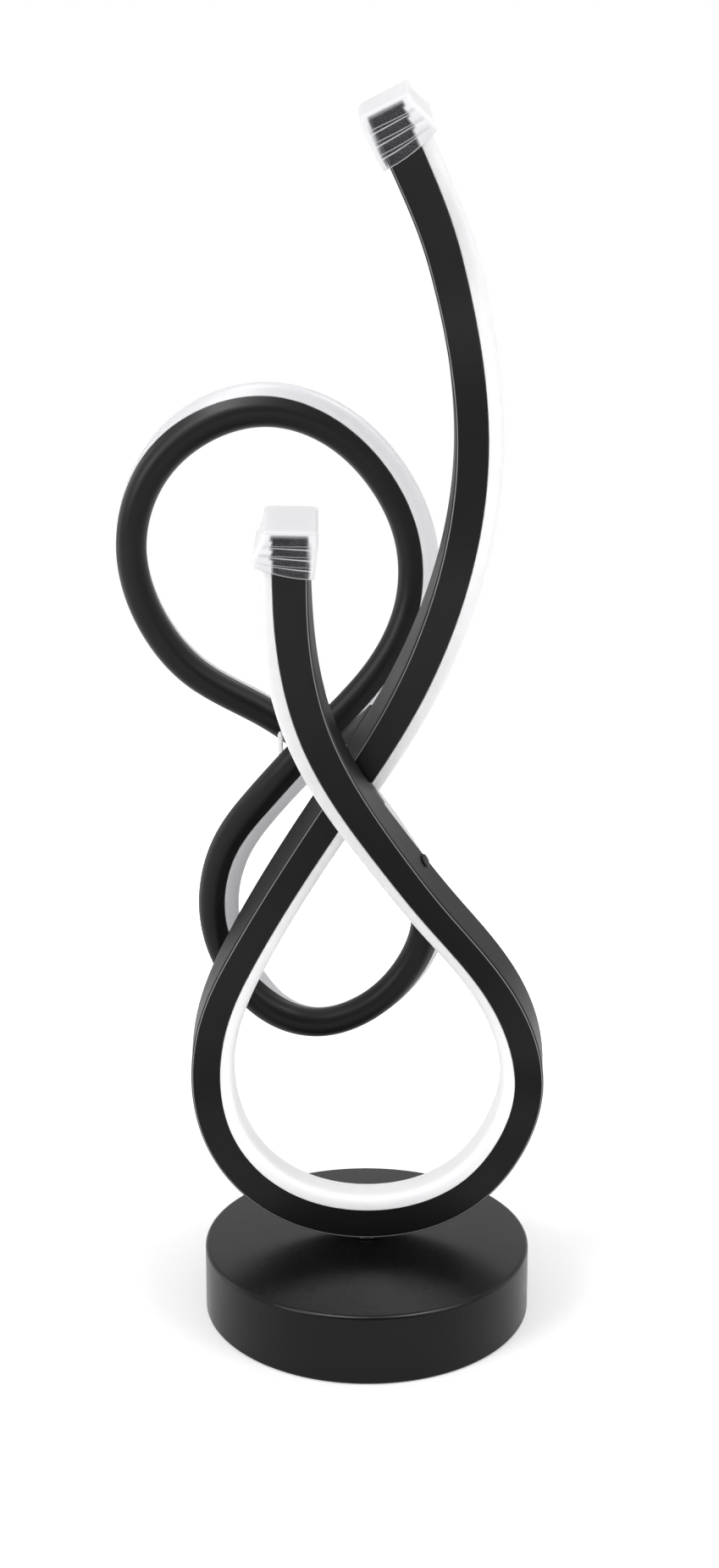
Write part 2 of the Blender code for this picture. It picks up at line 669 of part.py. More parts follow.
def foot_pad():
    """The full foam disc that the lamp stands on."""
    disc("foot_pad", BASE_RADIUS - PAD_MARGIN, 0.0, PAD_THICKNESS, FOAM, WIDE_SEGMENTS)


def mounting_bar():
    """The steel strap under the shell's top that carries the ballast and takes the stem."""
    length = 2 * (SHELL_INNER_RADIUS - BAR_END_CLEARANCE)
    centre = (0.0, 0.0, (BAR_TOP + BAR_BOTTOM) / 2)
    bar = block("mounting_bar", (length, BAR_WIDTH, BAR_THICKNESS), centre, ZINC)
    low, high = BAR_BOTTOM - CUT_OVERRUN, BAR_TOP + CUT_OVERRUN
    drill(bar, "bar_stem_cutter", STEM_RADIUS + FIT, low, high, HOLE_SEGMENTS)
    for side, x in (("left", -BALLAST_MIDDLE_RADIUS), ("right", BALLAST_MIDDLE_RADIUS)):
        drill(bar, "bar_bolt_cutter_" + side, BOLT_RADIUS + FIT, low, high).location.x = x


def stem_parts():
    """The threaded tube, its two nuts, the lock washer and the bright spacer under the ribbon."""
    channel_floor = SEAT_HEIGHT + FRONT_WALL
    upper_nut_bottom = channel_floor + 2 * FIT
    upper_nut_top = upper_nut_bottom + STEM_NUT_HEIGHT
    washer_top = BAR_BOTTOM - FIT
    lower_nut_top = washer_top - LOCK_WASHER_HEIGHT - FIT
    lower_nut_bottom = lower_nut_top - STEM_NUT_HEIGHT
    stem_bottom, stem_top = lower_nut_bottom - STEM_OVERRUN, upper_nut_top + STEM_OVERRUN
    spacer_top, washer_bottom = SPACER_BOTTOM + SPACER_HEIGHT, washer_top - LOCK_WASHER_HEIGHT
    hole = STEM_RADIUS + FIT
    ring("stem_tube", STEM_BORE_RADIUS, STEM_RADIUS, stem_bottom, stem_top, ZINC, TUBE_SEGMENTS)
    ring("stem_spacer", hole, SPACER_RADIUS, SPACER_BOTTOM, spacer_top, ZINC, TUBE_SEGMENTS)
    ring("stem_lock_washer", hole, LOCK_WASHER_RADIUS, washer_bottom, washer_top, ZINC, TUBE_SEGMENTS)
    for name, low, high in (
        ("stem_nut_upper", upper_nut_bottom, upper_nut_top),
        ("stem_nut_lower", lower_nut_bottom, lower_nut_top),
    ):
        nut = hexagon(name, STEM_NUT_WIDTH, low, high, ZINC)
        drill(nut, name + "_cutter", hole, low - CUT_OVERRUN, high + CUT_OVERRUN, TUBE_SEGMENTS)
    return stem_top


def power_socket():
    """The low-voltage inlet in the back wall, with its pin, and the nut inside that holds it."""
    outer_face = SOCKET_FLANGE_THICKNESS
    tail = -SOCKET_LENGTH
    floor = outer_face - SOCKET_BORE_DEPTH
    profile = [
        (0.0, 0.0), (SOCKET_PIN_RADIUS, 0.0), (SOCKET_PIN_RADIUS, floor), (SOCKET_BORE_RADIUS, floor),
        (SOCKET_BORE_RADIUS, outer_face), (SOCKET_FLANGE_RADIUS, outer_face), (SOCKET_FLANGE_RADIUS, 0.0),
        (SOCKET_NECK_RADIUS, 0.0), (SOCKET_NECK_RADIUS, tail), (0.0, tail),
    ]
    socket = turned("power_socket", profile, SOCKET_BLACK, TUBE_SEGMENTS)
    place(socket, (0.0, BASE_RADIUS + FIT, SOCKET_HEIGHT), (0.0, 1.0, 0.0))
    seat = math.sqrt(SHELL_INNER_RADIUS**2 - SOCKET_NUT_CORNER**2) - FIT
    nut = hexagon("socket_nut", SOCKET_NUT_WIDTH, -SOCKET_NUT_HEIGHT, 0.0, ZINC)
    place(nut, (0.0, seat, SOCKET_HEIGHT), (0.0, 1.0, 0.0))
    hole, low = SOCKET_NECK_RADIUS + FIT, -SOCKET_NUT_HEIGHT - CUT_OVERRUN
    bit = drill(nut, "socket_nut_cutter", hole, low, CUT_OVERRUN, TUBE_SEGMENTS)
    place(bit, (0.0, seat, SOCKET_HEIGHT), (0.0, 1.0, 0.0))
    return BASE_RADIUS + FIT + tail


def driver_board():
    """The small circuit board on its two posts, with its screws and the parts soldered on it."""
    middle = (BOARD_BOTTOM + BOARD_TOP) / 2
    size = (BOARD_LENGTH, BOARD_WIDTH, BOARD_THICKNESS)
    board = block("driver_board", size, (0.0, BOARD_OFFSET, middle), BOARD_GREEN)
    for side, sign in (("left", -1), ("right", 1)):
        x, y = sign * (BOARD_LENGTH / 2 - POST_EDGE), BOARD_OFFSET - BOARD_WIDTH / 2 + POST_EDGE
        low, high = PLATE_TOP + FIT, PLATE_TOP + FIT + POST_HEIGHT
        hole = BOARD_SCREW_RADIUS + FIT
        post = ring("board_post_" + side, hole, POST_RADIUS, low, high, ZINC, SMALL_SEGMENTS)
        post.location = (x, y, 0.0)
        bottom, top = BOARD_BOTTOM - CUT_OVERRUN, BOARD_TOP + CUT_OVERRUN
        bit = drill(board, "board_cutter_" + side, hole, bottom, top)
        bit.location = (x, y, 0.0)
        head = BOARD_TOP + FIT
        head_top = head + BOARD_SCREW_HEAD_HEIGHT
        screw = turned(
            "board_screw_" + side,
            [
                (0.0, head_top), (BOARD_SCREW_HEAD_RADIUS, head_top), (BOARD_SCREW_HEAD_RADIUS, head),
                (BOARD_SCREW_RADIUS, head), (BOARD_SCREW_RADIUS, low + FIT), (0.0, low + FIT),
            ],
            BLACK_OXIDE, SMALL_SEGMENTS,
        )
        screw.location = (x, y, 0.0)
    seat = BOARD_TOP + FIT
    x, y = BOARD_LENGTH / 3, BOARD_OFFSET + BOARD_WIDTH / 6
    top = seat + INDUCTOR_HEIGHT
    disc("driver_inductor", INDUCTOR_RADIUS, seat, top, COPPER, TUBE_SEGMENTS).location = (-x, y, 0.0)
    top = seat + CAPACITOR_HEIGHT
    disc("driver_capacitor", CAPACITOR_RADIUS, seat, top, SLEEVE, HOLE_SEGMENTS).location = (x, y, 0.0)
    chip = (CHIP_LENGTH, CHIP_WIDTH, CHIP_HEIGHT)
    chip_y = BOARD_OFFSET - BOARD_WIDTH / 12
    block("driver_chip", chip, (0.0, chip_y, seat + CHIP_HEIGHT / 2), SOCKET_BLACK)
    terminal_y = BOARD_OFFSET + BOARD_WIDTH / 2 - TERMINAL_WIDTH / 2 - FIT
    terminal = (TERMINAL_LENGTH, TERMINAL_WIDTH, TERMINAL_HEIGHT)
    block("driver_terminal", terminal, (0.0, terminal_y, seat + TERMINAL_HEIGHT / 2), TERMINAL_GREEN)
    return terminal_y + TERMINAL_WIDTH / 2 + FIT, seat


def supply_leads(socket_tail, terminal_face, seat):
    """Two short leads from the socket's tail to the terminal block."""
    for name, x, material in (
        ("supply_lead_positive", 2 * LEAD_RADIUS, LEAD_RED),
        ("supply_lead_negative", -2 * LEAD_RADIUS, LEAD_BLACK),
    ):
        start = (x, socket_tail - FIT, SOCKET_HEIGHT)
        end = (x, terminal_face, seat + TERMINAL_HEIGHT / 2)
        lead(name, [start, end], LEAD_RADIUS, material)


def feed_leads(stem_top, seat):
    """Two leads from the board up through the stem, one to each light strip of the front ribbon."""
    solder = BOARD_OFFSET - BOARD_WIDTH / 2 + POST_EDGE
    low = seat + LEAD_RADIUS
    lift = STRIP_TOP + FIT + LEAD_RADIUS
    reach = STRIP_START + LEAD_BEND
    for name, sign, material in (("feed_lead_a", 1, LEAD_RED), ("feed_lead_b", -1, LEAD_BLACK)):
        x = sign * (LEAD_RADIUS + FIT / 2)
        end = FRONT.point(STEM_SHARE - sign * reach / FRONT.length, 0.0, lift)
        path = [(x, solder, low), (x, 0.0, low), (x, 0.0, stem_top + LEAD_BEND), end]
        lead(name, path, LEAD_RADIUS, material)


def front_stations():
    """Shares for the front ribbon's rings, with one at each cap's open edge and where its cover falls."""
    marks = np.array([CAP_OVERLAP, COVER_NOSE_LENGTH, COVER_FALL_LENGTH]) / FRONT.length
    return np.unique(np.concatenate([FRONT.stations(0.0, 1.0), marks, 1.0 - marks]))


def crown(shares):
    """The share of the cover's full height that it has along the ribbon: it falls towards both tips."""
    from_tip = np.minimum(shares, 1.0 - np.asarray(shares)) * FRONT.length
    marks = [0.0, COVER_NOSE_LENGTH, COVER_FALL_LENGTH]
    return np.interp(from_tip, marks, [COVER_TIP_SHARE, COVER_NOSE_SHARE, 1.0])


def front_ribbon(stem_top, stations):
    """The channel, its two light strips, one each side of the stem, and the cover over its whole length."""
    section = front_channel_section()
    channel = loft("front_channel", FRONT.rings(section, stations), section, PAINT)
    hole = STEM_RADIUS + FIT
    drill(channel, "channel_stem_cutter", hole, BASE_HEIGHT, stem_top, HOLE_SEGMENTS)
    strip = strip_section(FRONT_WIDTH / 2 - FRONT_WALL, -FRONT_DEPTH / 2 + FRONT_WALL)
    gap = STRIP_START / FRONT.length
    for name, run in (
        ("front_strip_a", stations[stations < STEM_SHARE - gap]),
        ("front_strip_b", stations[stations > STEM_SHARE + gap]),
    ):
        loft(name, FRONT.rings(strip, run), strip, STRIP_WHITE)
    rings = []
    for place_on, height in zip(stations, FRONT_COVER_HEIGHT * crown(stations)):
        cover = cover_section(FRONT_WIDTH, FRONT_DEPTH, height, FRONT_WALL)
        rings.append(FRONT.rings(cover, [place_on])[0])
    loft("front_cover", rings, cover, MILKY, COVER_SMOOTH_DEGREES)
    return channel


def rear_ribbon():
    """The slimmer channel bent to a figure of eight, with its strip and cover.

    Its two ends are butted under the bracket.
    """
    half_gap = REAR_BUTT_GAP / 2 / REAR.length
    first, last = BRACKET_REAR_SHARE + half_gap, BRACKET_REAR_SHARE + 1.0 - half_gap
    stations = REAR.stations(first, last)
    section = rear_channel_section()
    channel = loft("rear_channel", REAR.rings(section, stations), section, PAINT)
    strip = strip_section(REAR_WIDTH / 2 - REAR_WALL, REAR_DEPTH / 2 - REAR_POCKET_DEPTH)
    loft("rear_strip", REAR.rings(strip, stations), strip, STRIP_WHITE)
    cover = cover_section(REAR_WIDTH, REAR_DEPTH, REAR_COVER_HEIGHT, REAR_WALL)
    loft("rear_cover", REAR.rings(cover, stations), cover, MILKY, COVER_SMOOTH_DEGREES)
    return channel


def box_outline(half, low, high, corner):
    """A box with cut corners, listed round its outline from the back, with a knee high on each side."""
    middle = low + corner + (high - low - 2 * corner) * CAP_KNEE_SHARE
    return [
        (-half, low + corner), (-half + corner, low), (half - corner, low), (half, low + corner),
        (half, middle), (half, high - corner), (half - corner, high),
        (-half + corner, high), (-half, high - corner), (-half, middle),
    ]


def end_cap(name, end_share, sign, stations):
    """A clear cap pushed over one end of the front ribbon.

    Its cavity follows the ribbon with a fit all round. Outside it swells from a thin lip to its full wall,
    has shallow cross grooves in its flat sides, and its lip slants back towards the dome.
    """
    inside = stations[np.abs(stations - end_share) * FRONT.length < CAP_OVERLAP + FIT / 2]
    pasts = np.sort(-np.abs(inside - end_share) * FRONT.length)
    onward = sign * FRONT.frame(end_share)[1]
    half, low = FRONT_WIDTH / 2 + FIT, -FRONT_DEPTH / 2 - FIT
    mouth = FRONT_DEPTH / 2 + FIT

    def outline(past, wall, corner, depth=0.0):
        """The outline round the ribbon, or past its end, at a wall that a groove thins on the flat sides."""
        share = end_share + sign * min(past, 0.0) / FRONT.length
        high = mouth + FRONT_COVER_HEIGHT * float(crown(share)) + CAP_CROWN_CLEARANCE
        section = np.array(box_outline(half + wall - depth, low - wall, high + wall, corner))
        points = FRONT.rings(section, [share])[0] + max(past, 0.0) * onward
        to_lip = min(max(-past / CAP_OVERLAP, 0.0), 1.0)
        rise = (section[:, 1] - section[:, 1].min()) / np.ptp(section[:, 1])
        bevel = CAP_BEVEL * to_lip**2 * rise**2
        return points + bevel[:, None] * sign * FRONT.frame(share)[1]

    rings = [outline(FIT, 0.0, FIT)] + [outline(past, 0.0, FIT) for past in pasts[::-1]]
    rings.append(outline(-CAP_OVERLAP, CAP_LIP_WALL, CAP_CORNER))
    for i in range(CAP_GROOVE_COUNT):
        middle = (i + 1) * CAP_GROOVE_PITCH - CAP_OVERLAP
        for step, depth in ((-2, 0.0), (-1, CAP_GROOVE_DEPTH), (1, CAP_GROOVE_DEPTH), (2, 0.0)):
            past = middle + step * CAP_GROOVE_DEPTH
            swell = math.sin(math.pi / 2 * min(2 + 2 * past / CAP_OVERLAP, 1.0))
            wall = CAP_LIP_WALL + (CAP_WALL - CAP_LIP_WALL) * swell
            rings.append(outline(past, wall, CAP_CORNER, depth))
    for angle in np.linspace(0.0, math.pi / 2, CORNER_STEPS)[:-1]:
        inset = CAP_EDGE_RADIUS * (1 - math.cos(angle))
        past = CAP_END_WALL - CAP_EDGE_RADIUS * (1 - math.sin(angle))
        rings.append(outline(past, CAP_WALL - inset, CAP_CORNER + inset))
    sides = box_outline(half, low, mouth, CAP_CORNER)
    loft(name, rings, sides, CLEAR, CAP_SMOOTH_DEGREES)


def ribbon_screw(name, pieces, seat, axis, grip, head_radius=RIBBON_SCREW_HEAD_RADIUS):
    """A low-headed screw with its head on a face, and its hole through each piece that it holds."""
    head, top = FIT, FIT + RIBBON_SCREW_HEAD_HEIGHT
    profile = [
        (0.0, top), (head_radius * RIM_SHARE, top), (head_radius, (head + top) / 2), (head_radius, head),
        (RIBBON_SCREW_RADIUS, head), (RIBBON_SCREW_RADIUS, -grip), (0.0, -grip),
    ]
    place(turned(name, profile, BLACK_OXIDE, SMALL_SEGMENTS), seat, axis)
    for i, piece in enumerate(pieces, start=1):
        hole, low = RIBBON_SCREW_RADIUS + FIT, -grip - CUT_OVERRUN / 2
        place(drill(piece, f"{name}_cutter_{i}", hole, low, CUT_OVERRUN), seat, axis)


def clamp_screw(channel):
    """The screw at the far edge of the forward strand's back, which grips the strip inside."""
    seat = FRONT.point(CLAMP_SCREW_SHARE, CLAMP_HEAD_RADIUS - FRONT_WIDTH / 2, -FRONT_DEPTH / 2)
    back = -FRONT.frame(CLAMP_SCREW_SHARE)[3]
    ribbon_screw("clamp_screw", [channel], seat, back, FRONT_WALL, CLAMP_HEAD_RADIUS)


def bracket(front_channel, rear_channel):
    """The bent plate that joins the two ribbons.

    It is screwed to the far side of the front one and to the near side of the rear one, over its butted
    ends.
    """
    half = BRACKET_LENGTH / 2
    front_out, rear_out = FRONT_CORNER - FRONT_DEPTH / 2, REAR_DEPTH / 2 - FIT
    reach = BRACKET_SEAT_GAP + BRACKET_THICKNESS
    far = BRACKET_THICKNESS / 2 - reach - FRONT_WIDTH / 2
    near = BRACKET_THICKNESS / 2 - reach - REAR_WIDTH / 2
    points = []
    for step in np.linspace(-half, half, BRACKET_STATIONS):
        front_share = BRACKET_FRONT_SHARE + step / FRONT.length
        rear_share = BRACKET_REAR_SHARE - step / REAR.length
        points += [
            FRONT.point(front_share, far, front_out + BRACKET_FRONT_TAB),
            FRONT.point(front_share, far, front_out),
            REAR.point(rear_share, near, rear_out),
            REAR.point(rear_share, near, rear_out - BRACKET_REAR_TAB),
        ]
    mesh = bpy.data.meshes.new("joining_bracket")
    faces = []
    for row in range(0, 4 * (BRACKET_STATIONS - 1), 4):
        faces += [(i, i + 1, i + 5, i + 4) for i in range(row, row + 3)]
    mesh.from_pydata([tuple(p) for p in points], [], faces)
    plate = add_object("joining_bracket", mesh, PAINT)
    thick = plate.modifiers.new("thickness", "SOLIDIFY")
    thick.thickness = BRACKET_THICKNESS
    thick.offset = 0.0
    thick.solidify_mode = "NON_MANIFOLD"
    thick.nonmanifold_thickness_mode = "CONSTRAINTS"
    front_middle = front_out + BRACKET_FRONT_TAB - FIT - RIBBON_SCREW_HEAD_RADIUS
    rear_middle = rear_out - BRACKET_REAR_TAB + FIT + RIBBON_SCREW_HEAD_RADIUS
    number = 0
    for ribbon, share, channel, half_width, out, wall in (
        (FRONT, BRACKET_FRONT_SHARE, front_channel, FRONT_WIDTH / 2, front_middle, FRONT_WALL),
        (REAR, BRACKET_REAR_SHARE, rear_channel, REAR_WIDTH / 2, rear_middle, REAR_WALL),
    ):
        for step in (-BRACKET_SCREW_PITCH / 2, BRACKET_SCREW_PITCH / 2):
            number += 1
            place_on = share + step / ribbon.length
            seat = ribbon.point(place_on, -half_width - reach - FIT, out)
            side = ribbon.frame(place_on)[2]
            ribbon_screw(f"bracket_screw_{number}", [plate, channel], seat, -side, reach + wall + FIT)


def crossing_plate(channel):
    """The thin plate between the two strands of the front ribbon where they cross, and its screw."""
    half = CROSSING_PLATE_LENGTH / 2
    near_side = FRONT.frame(CROSSING_NEAR_SHARE)[2]
    far_centre, _, far_side, _ = FRONT.frame(CROSSING_FAR_SHARE)
    through = -(near_side + far_side)
    through /= np.linalg.norm(through)
    far_face = far_centre + (FRONT_WIDTH / 2 + FIT) * far_side
    outline = []
    for step, out in ((-half, -1), (half, -1), (half, 1), (-half, 1)):
        inset = CROSSING_PLATE_INSET if out < 0 else FRONT_CORNER
        share = CROSSING_NEAR_SHARE + step / FRONT.length
        outline.append(FRONT.point(share, -FRONT_WIDTH / 2 - FIT, out * (FRONT_DEPTH / 2 - inset)))
    onto = [p + through * ((far_face - p) @ far_side) / (through @ far_side) for p in outline]
    faces = [(0, 1, 2, 3), (7, 6, 5, 4)]
    faces += [(i, i + 4, (i + 1) % 4 + 4, (i + 1) % 4) for i in range(4)]
    mesh = bpy.data.meshes.new("crossing_plate")
    mesh.from_pydata([tuple(p) for p in outline + onto], [], faces)
    work = bmesh.new()
    work.from_mesh(mesh)
    bmesh.ops.recalc_face_normals(work, faces=work.faces)
    work.to_mesh(mesh)
    work.free()
    plate = add_object("crossing_plate", mesh, PAINT)
    thick = np.linalg.norm(onto[0] - outline[0])
    seat = FRONT.point(CROSSING_SCREW_SHARE, -FRONT_WIDTH / 2 + FRONT_WALL, 0.0)
    grip = 2 * FRONT_WALL + 2 * FIT + thick
    ribbon_screw("crossing_screw", [channel, plate], seat, -through, grip)


def crossing_post(channel):
    """The pale post between the two strands of the rear ribbon, pegged into a blind hole in each."""
    low, high = REAR.point(POST_LOWER_SHARE, 0.0, 0.0), REAR.point(POST_UPPER_SHARE, 0.0, 0.0)
    axis = (high - low) / np.linalg.norm(high - low)

    def skin(share, way):
        """How far the channel's round back lies from its centre, that way."""
        _, _, side, light = REAR.frame(share)
        heading = np.array([way @ side, way @ light])
        heading /= np.linalg.norm(heading)
        middle = REAR_WIDTH / 2 - REAR_DEPTH / 2
        reach = heading[1] * middle + math.sqrt((REAR_WIDTH / 2) ** 2 - (heading[0] * middle) ** 2)
        return reach / np.linalg.norm([way @ side, way @ light])

    start, end = skin(POST_LOWER_SHARE, axis) + 3 * FIT, skin(POST_UPPER_SHARE, -axis) + 3 * FIT
    length = np.linalg.norm(high - low) - start - end
    top = length + POST_PEG_LENGTH
    profile = [
        (0.0, top), (POST_PEG_RADIUS, top), (POST_PEG_RADIUS, length), (POST_PIN_RADIUS, length),
        (POST_PIN_RADIUS, 0.0), (POST_PEG_RADIUS, 0.0), (POST_PEG_RADIUS, -POST_PEG_LENGTH),
        (0.0, -POST_PEG_LENGTH),
    ]
    seat = low + start * axis
    place(turned("crossing_post", profile, MILKY, SMALL_SEGMENTS), seat, axis)
    hole, reach = POST_PEG_RADIUS + FIT, POST_PEG_LENGTH + FIT
    for i, middle in enumerate((0.0, length), start=1):
        bit = drill(channel, f"crossing_post_cutter_{i}", hole, middle - reach, middle + reach)
        place(bit, seat, axis)


def bridge_lead(front_channel, rear_channel):
    """The lead that takes the supply from the front ribbon to the rear one, through a hole in each."""
    front_side, rear_side = FRONT.frame(BRIDGE_FRONT_SHARE)[2], REAR.frame(BRIDGE_REAR_SHARE)[2]
    rear_out = REAR_DEPTH / 2 - REAR_POCKET_DEPTH + STRIP_THICKNESS + 2 * FIT + LEAD_RADIUS
    front_wall = FRONT.point(BRIDGE_FRONT_SHARE, -FRONT_WIDTH / 2, 0.0)
    rear_wall = REAR.point(BRIDGE_REAR_SHARE, -REAR_WIDTH / 2, rear_out)
    inside, outside = FRONT_WALL + LEAD_BEND / 2, LEAD_BEND / 2
    path = [
        front_wall + inside * front_side, front_wall - outside * front_side,
        rear_wall - outside * rear_side, rear_wall + inside * rear_side,
    ]
    lead("bridge_lead", path, LEAD_RADIUS, LEAD_BLACK)
    for name, piece, wall, side in (
        ("bridge_cutter_front", front_channel, front_wall, front_side),
        ("bridge_cutter_rear", rear_channel, rear_wall, rear_side),
    ):
        bit = drill(piece, name, LEAD_RADIUS + FIT, -CUT_OVERRUN, FRONT_WALL + CUT_OVERRUN)
        place(bit, wall, side)


base_shell()
iron_ring = ballast()
bottom_plate(iron_ring)
foot_pad()
mounting_bar()
stem_top = stem_parts()
socket_tail = power_socket()
terminal_face, board_seat = driver_board()
supply_leads(socket_tail, terminal_face, board_seat)
feed_leads(stem_top, board_seat)
stations = front_stations()
front = front_ribbon(stem_top, stations)
rear = rear_ribbon()
end_cap("end_cap_a", 0.0, -1, stations)
end_cap("end_cap_b", 1.0, 1, stations)
clamp_screw(front)
bracket(front, rear)
crossing_plate(front)
crossing_post(rear)
bridge_lead(front, rear)
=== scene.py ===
import math

import bmesh
import bpy
import numpy as np
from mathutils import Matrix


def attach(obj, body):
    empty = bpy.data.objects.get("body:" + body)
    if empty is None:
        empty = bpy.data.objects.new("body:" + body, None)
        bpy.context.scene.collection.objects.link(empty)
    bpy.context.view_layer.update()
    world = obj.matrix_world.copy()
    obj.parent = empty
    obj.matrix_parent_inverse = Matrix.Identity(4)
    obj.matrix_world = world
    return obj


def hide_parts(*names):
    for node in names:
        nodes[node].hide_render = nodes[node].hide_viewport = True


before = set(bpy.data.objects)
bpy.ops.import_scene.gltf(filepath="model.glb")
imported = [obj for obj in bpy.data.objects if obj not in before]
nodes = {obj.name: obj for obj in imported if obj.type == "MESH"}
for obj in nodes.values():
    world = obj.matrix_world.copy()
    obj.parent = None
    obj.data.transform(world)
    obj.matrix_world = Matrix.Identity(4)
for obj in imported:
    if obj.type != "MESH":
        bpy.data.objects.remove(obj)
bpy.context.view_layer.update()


# Camera
# The photograph's viewpoint: half a metre in front of the lamp and a little above its middle, tilted down
# by about eight degrees, with a normal lens for a picture of 849 x 1851.
camera_data = bpy.data.cameras.new("camera")
camera_data.sensor_width = 36.0
camera_data.lens = 31.68
camera_data.clip_start = 0.01
camera = bpy.data.objects.new("camera", camera_data)
bpy.context.scene.collection.objects.link(camera)
camera.location = (-0.0027, -0.488, 0.264)
camera.rotation_euler = (math.radians(81.88), 0.0, 0.0)
bpy.context.scene.camera = camera


# Room
# A plain pale floor in a white surround, lit by three soft boxes and four more that only show in gloss. As
# light, the surround is stronger on the viewer's side, and in gloss it is dim behind the viewer. The floor
# keeps the lamp's shadow.
def larger(tree, first, second):
    """The larger of two values."""
    node = tree.nodes.new("ShaderNodeMath")
    node.operation = "MAXIMUM"
    tree.links.new(first, node.inputs[0])
    tree.links.new(second, node.inputs[1])
    return node.outputs[0]


def ranged(tree, value, low, high, start, end):
    """A value from low to high moved in proportion onto start to end, and held beyond them."""
    node = tree.nodes.new("ShaderNodeMapRange")
    for name, number in (("From Min", low), ("From Max", high), ("To Min", start), ("To Max", end)):
        node.inputs[name].default_value = number
    tree.links.new(value, node.inputs["Value"])
    return node


def seen_directly(tree):
    """1 on a ray from the camera, from gloss or through a clear piece, and 0 on light that is spread."""
    path = tree.nodes.new("ShaderNodeLightPath")
    seen = larger(tree, path.outputs["Is Camera Ray"], path.outputs["Is Glossy Ray"])
    return larger(tree, seen, path.outputs["Is Transmission Ray"])


front_light, back_light, light_turns = 0.75, 0.4, (-0.5, 0.5)
gloss_dim, gloss_turns = 0.3, (-0.7, 0.1)
world = bpy.data.worlds.new("surround")
bpy.context.scene.world = world
world.use_nodes = True
surround = world.node_tree.nodes["Background"]
surround.inputs["Color"].default_value = (1.0, 1.0, 1.0, 1.0)
tree = world.node_tree
heading = tree.nodes.new("ShaderNodeSeparateXYZ")
tree.links.new(tree.nodes.new("ShaderNodeTexCoord").outputs["Generated"], heading.inputs["Vector"])
as_light = ranged(tree, heading.outputs["Y"], *light_turns, front_light, back_light)
in_gloss = ranged(tree, heading.outputs["Y"], *gloss_turns, gloss_dim, 1.0)
to_camera = tree.nodes.new("ShaderNodeLightPath").outputs["Is Camera Ray"]
strength = ranged(tree, seen_directly(tree), 0.0, 1.0, 0.0, 1.0)
tree.links.new(as_light.outputs["Result"], strength.inputs["To Min"])
tree.links.new(larger(tree, in_gloss.outputs["Result"], to_camera), strength.inputs["To Max"])
tree.links.new(strength.outputs["Result"], surround.inputs["Strength"])

floor_half, floor_lift, near_edge, far_edge = 3.0, 0.3, 0.16, 0.7
floor_mesh = bpy.data.meshes.new("floor")
corners = [(-floor_half, -floor_half, 0.0), (floor_half, -floor_half, 0.0),
           (floor_half, floor_half, 0.0), (-floor_half, floor_half, 0.0)]
floor_mesh.from_pydata(corners, [], [(0, 1, 2, 3)])
floor = bpy.data.objects.new("floor", floor_mesh)
bpy.context.scene.collection.objects.link(floor)
floor_finish = bpy.data.materials.new("pale_floor")
floor_finish.use_nodes = True
tree = floor_finish.node_tree
tree.nodes.clear()
matt = tree.nodes.new("ShaderNodeBsdfDiffuse")
matt.inputs["Color"].default_value = (0.88, 0.88, 0.88, 1.0)
lift = tree.nodes.new("ShaderNodeEmission")
from_lamp = tree.nodes.new("ShaderNodeVectorMath")
from_lamp.operation = "LENGTH"
tree.links.new(tree.nodes.new("ShaderNodeTexCoord").outputs["Object"], from_lamp.inputs[0])
fade = ranged(tree, from_lamp.outputs["Value"], near_edge, far_edge, floor_lift, 1.0)
fade.interpolation_type = "SMOOTHSTEP"
lift_strength = tree.nodes.new("ShaderNodeMath")
lift_strength.operation = "MULTIPLY"
tree.links.new(fade.outputs["Result"], lift_strength.inputs[1])
tree.links.new(seen_directly(tree), lift_strength.inputs[0])
tree.links.new(lift_strength.outputs[0], lift.inputs["Strength"])
both = tree.nodes.new("ShaderNodeAddShader")
tree.links.new(matt.outputs[0], both.inputs[0])
tree.links.new(lift.outputs[0], both.inputs[1])
out = tree.nodes.new("ShaderNodeOutputMaterial")
tree.links.new(both.outputs[0], out.inputs["Surface"])
floor_mesh.materials.append(floor_finish)

lit_middle = (0.0, 0.0, 0.2)
for name, place, width, height, power, gloss_only in (
    ("soft_box_left", (-1.1, -0.9, 0.9), 0.6, 0.6, 10.5, False),
    ("soft_box_right", (1.2, -0.8, 0.9), 0.6, 0.6, 7.0, False),
    ("soft_box_top", (0.1, 0.5, 1.6), 1.2, 1.2, 3.0, False),
    ("low_left", (-1.4, 0.35, 0.35), 0.6, 1.0, 3.0, True),
    ("low_right", (1.4, 0.35, 0.35), 0.6, 1.0, 1.5, True),
    ("overhead_left", (-0.28, -0.35, 1.1), 0.4, 0.4, 10.0, True),
    ("overhead_right", (0.45, -0.35, 1.1), 0.4, 0.4, 10.0, True),
):
    light = bpy.data.lights.new(name, "AREA")
    light.shape = "RECTANGLE"
    light.size, light.size_y = width, height
    light.energy = power
    lamp = bpy.data.objects.new(name, light)
    bpy.context.scene.collection.objects.link(lamp)
    lamp.location = place
    towards = np.array(lit_middle) - place
    level = math.hypot(towards[0], towards[1])
    lamp.rotation_euler = (math.atan2(level, -towards[2]), 0.0, math.atan2(-towards[0], towards[1]))
    if gloss_only:
        lamp.visible_diffuse = False
        lamp.visible_transmission = False
bpy.context.scene.view_settings.view_transform = "Standard"


